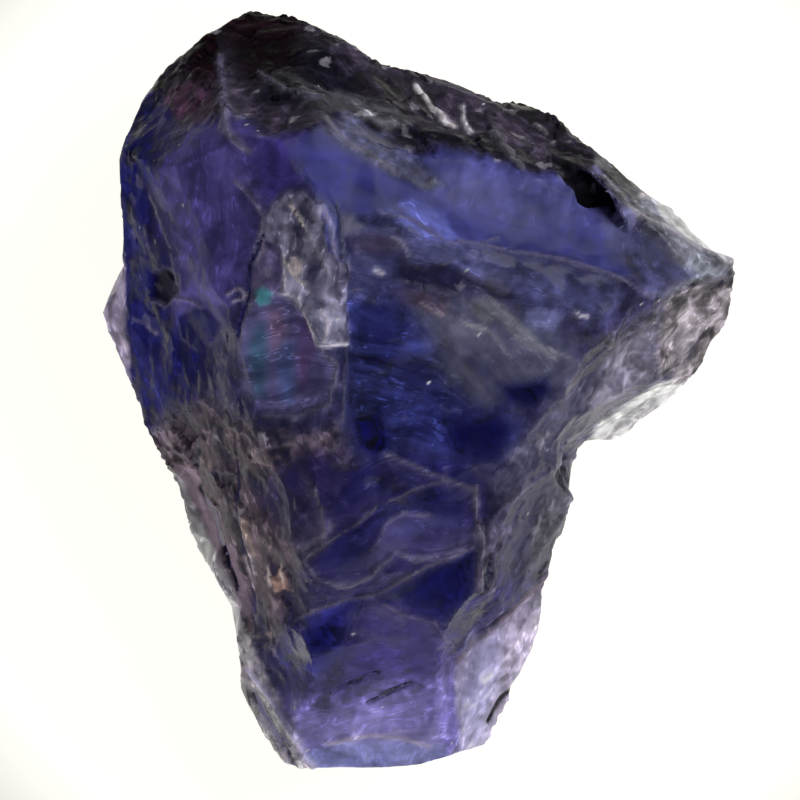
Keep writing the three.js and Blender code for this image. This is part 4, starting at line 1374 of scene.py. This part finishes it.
def ease(low, high, value):
    """0 below low and 1 above high, with a smooth rise between them."""
    t = np.clip((value - low) / (high - low), 0, 1)
    return t * t * (3 - 2 * t)


def ridge(far, width):
    """1 on a line, falling away from it to either side."""
    return np.exp(-((far / width) ** 2))


def one_sided(value, rise, fall):
    """1 where a value is 0, with a quick fall below it and a slow one above it."""
    return np.where(value < 0, np.exp(value / rise), np.exp(-value / fall))


def paint(field, weight, value):
    """Brings a field towards a value, as far as the weight says."""
    weight = weight if field.ndim == 1 else weight[:, None]
    field += weight * (np.asarray(value) - field)


def read_vectors(mesh, name):
    """A vector of every vertex, such as its place, in one row each."""
    rows = np.empty((len(mesh.vertices), 3), np.float32)
    mesh.vertices.foreach_get(name, rows.ravel())
    return rows.astype(float)


def store(mesh, name, kind, values):
    """Keeps a number, vector or colour of every point as an attribute."""
    key = {"FLOAT": "value", "FLOAT_VECTOR": "vector", "FLOAT_COLOR": "color"}[kind]
    attribute = mesh.attributes.new(name, kind, "POINT")
    attribute.data.foreach_set(key, values.astype(np.float32).ravel())


class Skin:
    """The stone's surface while it is being made: its points, their look and their noises."""

    def __init__(self, mesh):
        self.mesh = mesh
        self.p = read_vectors(mesh, "co")
        self.n = read_vectors(mesh, "normal")
        self.count = len(self.p)
        self.front = ease(*UNDER, self.n[:, 2])
        self._read_noises()
        self.veil = self._evenly(PLAIN.veil)
        self.rough = self._evenly(PLAIN.rough)
        self.hackly = self._evenly(PLAIN.hackly)
        self.wisps = self._evenly(PLAIN.wisps)
        self.lift = self._evenly(PLAIN.lift)
        self.worn = self._evenly(PLAIN.worn)
        self.glass = self._evenly(PLAIN.glass)
        angle, strength = PLAIN.comb
        self.combed = self._evenly(0)
        self.comb_strength = self._evenly(strength)
        self.flow = turned(self.p, angle, STRAND_STRETCH)

    def _evenly(self, value):
        """A field that starts with one number or colour all over."""
        shape = (self.count, *np.shape(value))
        return np.full(shape, value, float)

    def _read_noises(self):
        stepped = self.p + bends(self.p, *STEP_BENDS)
        self.bent = self.p + bends(self.p, *STRAND_BENDS)
        self.lumps = noise_over(self.p, *LUMPS)
        self.ragged = noise_over(self.p, *RAGGED)
        self.gravel = noise_over(self.p, *GRAVEL)
        self.sway_x = noise_over(self.p, *SWAY_X)
        self.sway_y = noise_over(self.p, *SWAY_Y)
        self.coarse, self.coarse_tone, self.coarse_border = hackly_steps(stepped, *COARSE_STEPS)
        self.small, self.small_tone, self.small_border = hackly_steps(stepped, *SMALL_STEPS)
        self.fine, self.fine_tone, _ = hackly_steps(stepped, *FINE_STEPS)

    def _mix(self, shares):
        """The sum of the noises named, each times its share."""
        return sum(share * getattr(self, name) for name, share in shares.items())

    def _swayed(self, far):
        """The points seen from above, moved a little so that nothing drawn on them is straight."""
        return self.p[:, 0] + far * self.sway_x, self.p[:, 1] + far * self.sway_y

    def lay(self, zone):
        """Gives the points inside a zone its look."""
        least, per_step, most = ZONE_SWAY
        sway = min(least + per_step * zone.hackly, most)
        depth = inside_by(zone.outline, *self._swayed(sway))
        depth += sway * (EDGE_RAGGED_SHARE * self.ragged + EDGE_GRAVEL_SHARE * self.gravel)
        weight = self.front * ease(-zone.edge, zone.edge, depth)
        for name in ("veil", "rough", "hackly", "wisps", "lift", "worn", "glass"):
            paint(getattr(self, name), weight, getattr(zone, name))
        self._comb(weight, *zone.comb)

    def _comb(self, weight, angle, strength):
        """Draws fine strands one way, as far as the weight says."""
        near = weight > TOUCHED
        there = self.p[near]
        strands = noise_over(turned(there, angle, FINE_STRAND_STRETCH), *FINE_STRANDS)
        strands += BROAD_STRAND_SHARE * noise_over(turned(there, angle, STRAND_STRETCH), *BROAD_STRANDS)
        self.combed[near] += weight[near] * (strength * strands - self.combed[near])
        paint(self.comb_strength, weight, strength)
        mostly = weight > MOSTLY_INSIDE
        self.flow[mostly] = turned(self.bent[mostly], angle, STRAND_STRETCH)

    def break_up(self):
        """Makes the skin's cover and brightness uneven, with painted glints and pale seams."""
        self.grit = np.clip(LEAST_GRIT + self.hackly / FULL_GRIT_STEP, 0, 1)
        self.veil += self.grit * self._mix(VEIL_SHARES) + COMB_VEIL * self.combed
        tone = self.grit * self._mix(TONE_SHARES) + COMB_TONE * self.combed
        self.worn *= (1 + tone + self._mix(PATCH_SHARES))[:, None]
        # Painted highlights: small faces of the brightest tones are brought towards the glint colour.
        glints = ease(*GLINT_TONES, self.fine_tone * (1 + GLINT_LUMPS * self.lumps))
        paint(self.worn, GLINT_SHARE * self.grit * glints, GLINT_COLOUR)
        seams = ridge(self.coarse_border, COARSE_SEAM)
        seams += SMALL_SEAM_SHARE * ridge(self.small_border, SMALL_SEAM)
        seams *= ease(*SEAM_NOISE, self.lumps + self.ragged)
        self.veil += SEAM_VEIL * self.grit * seams
        self.worn *= (1 + SEAM_TONE * self.grit * np.clip(seams, 0, 1))[:, None]

    def drape(self):
        """Adds the veils inside the stone, each crisp on one side and soft on the other."""
        draped = np.zeros(self.count)
        for strength, pattern, crisp, soft in DRAPES:
            draped += strength * one_sided(noise_over(self.bent, *pattern), crisp, soft)
        draped *= self.wisps
        self.veil += WISP_SHARE * draped
        self.worn *= (1 + WISP_TONE * draped)[:, None]
        paint(self.worn, np.clip(WISP_SHARE * draped, 0, 1), WISP_COLOUR)

    def draw(self, line):
        """Draws a crack, seam, ridge or painted highlight, with its fade to one side."""
        far, side = to_segments(line.route, *self._swayed(LINE_SWAY))
        weight = ridge(far, line.width * (1 + LINE_RAGGED * self.ragged))
        coloured = weight
        if line.fade:
            fade = FADE_SHARE * np.exp(-far / abs(line.fade)) * (side == math.copysign(1, line.fade))
            self._cover(fade * (1 + self.ragged), line.veil)
            coloured = np.maximum(weight, fade)
        paint(self.worn, self.front * coloured, line.worn)
        self._cover(weight, line.veil)
        self.lift += self.front * weight * line.lift

    def _cover(self, weight, veil):
        """Brings the cover towards a line's, where what is more than full counts as full."""
        self.veil += self.front * weight * (veil - np.minimum(self.veil, 1.0))

    def scatter_sparkles(self):
        """Scatters bright specks, painted sparkle highlights."""
        dice = np.random.default_rng(SPARKLE_SEED).random(self.count)
        gathered = self.grit * ease(*SPARKLE_NOISE, self.lumps + self.gravel)
        bright = dice < SPARKLE_CHANCE + SPARKLE_CHANCE_ON_GRIT * gathered
        bright &= self.n[:, 2] > SPARKLE_FACES_UP
        # Painted sparkle highlights: each speck is made near white and fully covered.
        self.worn[bright] = SPARKLE_COLOUR
        self.veil[bright] = SPARKLE_VEIL

    def carve(self):
        """Moves the points in and out by the fine relief."""
        relief = self.lift + self.hackly * self._mix(STEP_SHARES)
        relief += STRAND_HEIGHT * self.combed + GRAVEL_HEIGHT * self.grit * self.gravel
        for (x, y), wave, height in RIPPLE_CENTRES:
            away = np.hypot(self.p[:, 0] - x, self.p[:, 1] - y) + RIPPLE_BEND * self.lumps
            relief += height * np.sin(2 * math.pi * away / wave) * (self.hackly < RIPPLED_STEP)
        relief = np.clip(relief, DEEPEST, HIGHEST)
        relief[self.p[:, 2] < RESTING] = 0.0
        self.p += self.n * relief[:, None]
        self.p[:, 2] = np.maximum(self.p[:, 2], 0.0)
        self.mesh.vertices.foreach_set("co", self.p.astype(np.float32).ravel())

    def keep(self):
        """Stores the look of each point for the material."""
        store(self.mesh, "veil", "FLOAT", self.veil)
        store(self.mesh, "rough", "FLOAT", np.clip(self.rough, SMOOTHEST, 1))
        store(self.mesh, "grit", "FLOAT", self.grit)
        store(self.mesh, "combed", "FLOAT", self.comb_strength)
        store(self.mesh, "flow", "FLOAT_VECTOR", self.flow)
        for name, colours in (("worn", self.worn), ("glass", self.glass)):
            rgba = np.column_stack((np.clip(colours, 0, 1), np.ones(self.count)))
            store(self.mesh, name, "FLOAT_COLOR", rgba)


def weather(mesh):
    """Adds the fine relief and stores the look of each point as attributes."""
    skin = Skin(mesh)
    for zone in ZONES:
        skin.lay(zone)
    skin.break_up()
    skin.drape()
    for line in LINES:
        skin.draw(line)
    skin.scatter_sparkles()
    skin.carve()
    skin.keep()


class IOLITE_OT_stone(bpy.types.Operator):
    """Make the stone: the CAD solid with its fine broken surface and its see-through material"""

    bl_idname = "iolite.stone"
    bl_label = "Make the stone"

    def execute(self, context):
        scene = context.scene
        mesh = fine_mesh(NODE, scene.iolite_stone.grain)
        weather(mesh)
        mesh.transform(((MM, 0, 0, 0), (0, MM, 0, 0), (0, 0, MM, 0), (0, 0, 0, 1)))
        mesh.name = "iolite_stone"
        mesh.materials.clear()
        mesh.materials.append(crystal_material(scene.iolite_colours))
        mesh.shade_smooth()
        mesh.set_sharp_from_angle(angle=scene.iolite_stone.crease)
        stone = bpy.data.objects.new("iolite_stone", mesh)
        scene.collection.objects.link(stone)
        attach(stone, "root")
        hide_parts(NODE)
        print("stone triangles", sum(len(f.vertices) - 2 for f in mesh.polygons))
        return {"FINISHED"}


# The stage


def studio_world():
    """Soft light all round, brightest at the horizon, and dim straight overhead."""
    world = bpy.data.worlds.new("studio")
    world.use_nodes = True
    tree = world.node_tree
    back = tree.nodes["Background"]
    where = tree.nodes.new("ShaderNodeTexCoord")
    split = tree.nodes.new("ShaderNodeSeparateXYZ")
    ramp = tree.nodes.new("ShaderNodeValToRGB")
    set_stops(
        ramp.color_ramp,
        [(0.0, (0.35, 0.34, 0.33, 1)), (0.4, (0.16, 0.165, 0.17, 1)), (0.9, (0.05, 0.052, 0.06, 1))],
    )
    tree.links.new(where.outputs["Generated"], split.inputs[0])
    tree.links.new(split.outputs["Z"], ramp.inputs[0])
    tree.links.new(ramp.outputs[0], back.inputs["Color"])
    return world


def floor_material():
    """A pale, dull floor with a soft glow under the stone."""
    s = Shader("pale_floor")
    where = s.add("ShaderNodeTexCoord").outputs["Object"]
    away = s.value("ShaderNodeVectorMath", {"operation": "LENGTH"}, {0: where}, output="Value")
    glow = s.ramp(away * (1 / GLOW_REACH), *GLOW)
    pale = s.add(
        "ShaderNodeBsdfPrincipled",
        None,
        {
            "Base Color": (0.5, 0.49, 0.46, 1),
            "Roughness": 0.9,
            "Emission Color": s.scale_colour((1.0, 0.975, 0.9), glow),
            "Emission Strength": 0.95,
        },
    )
    s.add("ShaderNodeOutputMaterial", None, {"Surface": pale.outputs[0]})
    return s.material


def make_floor(scene):
    """A flat floor just under the stone."""
    mesh = bpy.data.meshes.new("floor")
    bm = bmesh.new()
    bmesh.ops.create_grid(bm, x_segments=1, y_segments=1, size=FLOOR_HALF)
    bmesh.ops.translate(bm, verts=bm.verts, vec=(0, 0, -FLOOR_BELOW))
    bm.to_mesh(mesh)
    bm.free()
    mesh.materials.append(floor_material())
    floor = bpy.data.objects.new("floor", mesh)
    scene.collection.objects.link(floor)
    return floor


def make_lamp(scene, name, place, size, power):
    """A soft square lamp that looks at the stone and has no mirror image in it."""
    lamp = bpy.data.lights.new(name, "AREA")
    lamp.size = size
    lamp.energy = power
    light = bpy.data.objects.new(name, lamp)
    light.location = place
    light.visible_glossy = False
    ahead = Vector(LAMP_TARGET) - Vector(place)
    light.rotation_euler = ahead.to_track_quat("-Z", "Y").to_euler()
    scene.collection.objects.link(light)


def make_camera(scene):
    """The camera, straight above the stone."""
    lens = bpy.data.cameras.new("camera")
    lens.lens = LENS_MM
    lens.sensor_width = SENSOR_MM
    lens.clip_start = NEAREST_SEEN
    camera = bpy.data.objects.new("camera", lens)
    camera.location = CAMERA_PLACE
    scene.collection.objects.link(camera)
    scene.camera = camera


class IOLITE_OT_stage(bpy.types.Operator):
    """Make the floor, the lights and the camera"""

    bl_idname = "iolite.stage"
    bl_label = "Make the stage"

    def execute(self, context):
        scene = context.scene
        floor = make_floor(scene)
        scene.world = studio_world()
        for name, place, size, power in LAMPS:
            make_lamp(scene, name, place, size, power)
        make_camera(scene)
        scene.view_settings.view_transform = "Standard"
        return {"FINISHED"}


class IOLITE_PT_panel(bpy.types.Panel):
    bl_label = "Rough iolite crystal"
    bl_space_type = "VIEW_3D"
    bl_region_type = "UI"
    bl_category = "Iolite"

    def draw(self, context):
        layout = self.layout
        layout.prop(context.scene.iolite_stone, "grain")
        layout.prop(context.scene.iolite_stone, "crease")
        layout.prop(context.scene.iolite_colours, "body")
        layout.prop(context.scene.iolite_colours, "depth")
        layout.operator("iolite.stone")
        layout.operator("iolite.stage")


CLASSES = (
    IoliteStoneSettings,
    IoliteColourSettings,
    IOLITE_OT_stone,
    IOLITE_OT_stage,
    IOLITE_PT_panel,
)


def register():
    for each in CLASSES:
        bpy.utils.register_class(each)
    bpy.types.Scene.iolite_stone = bpy.props.PointerProperty(type=IoliteStoneSettings)
    bpy.types.Scene.iolite_colours = bpy.props.PointerProperty(type=IoliteColourSettings)


def unregister():
    del bpy.types.Scene.iolite_colours
    del bpy.types.Scene.iolite_stone
    for each in reversed(CLASSES):
        bpy.utils.unregister_class(each)


def main():
    """Registers the tools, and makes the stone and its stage."""
    register()
    bpy.ops.iolite.stone()
    bpy.ops.iolite.stage()


if __name__ == "__main__":
    main()
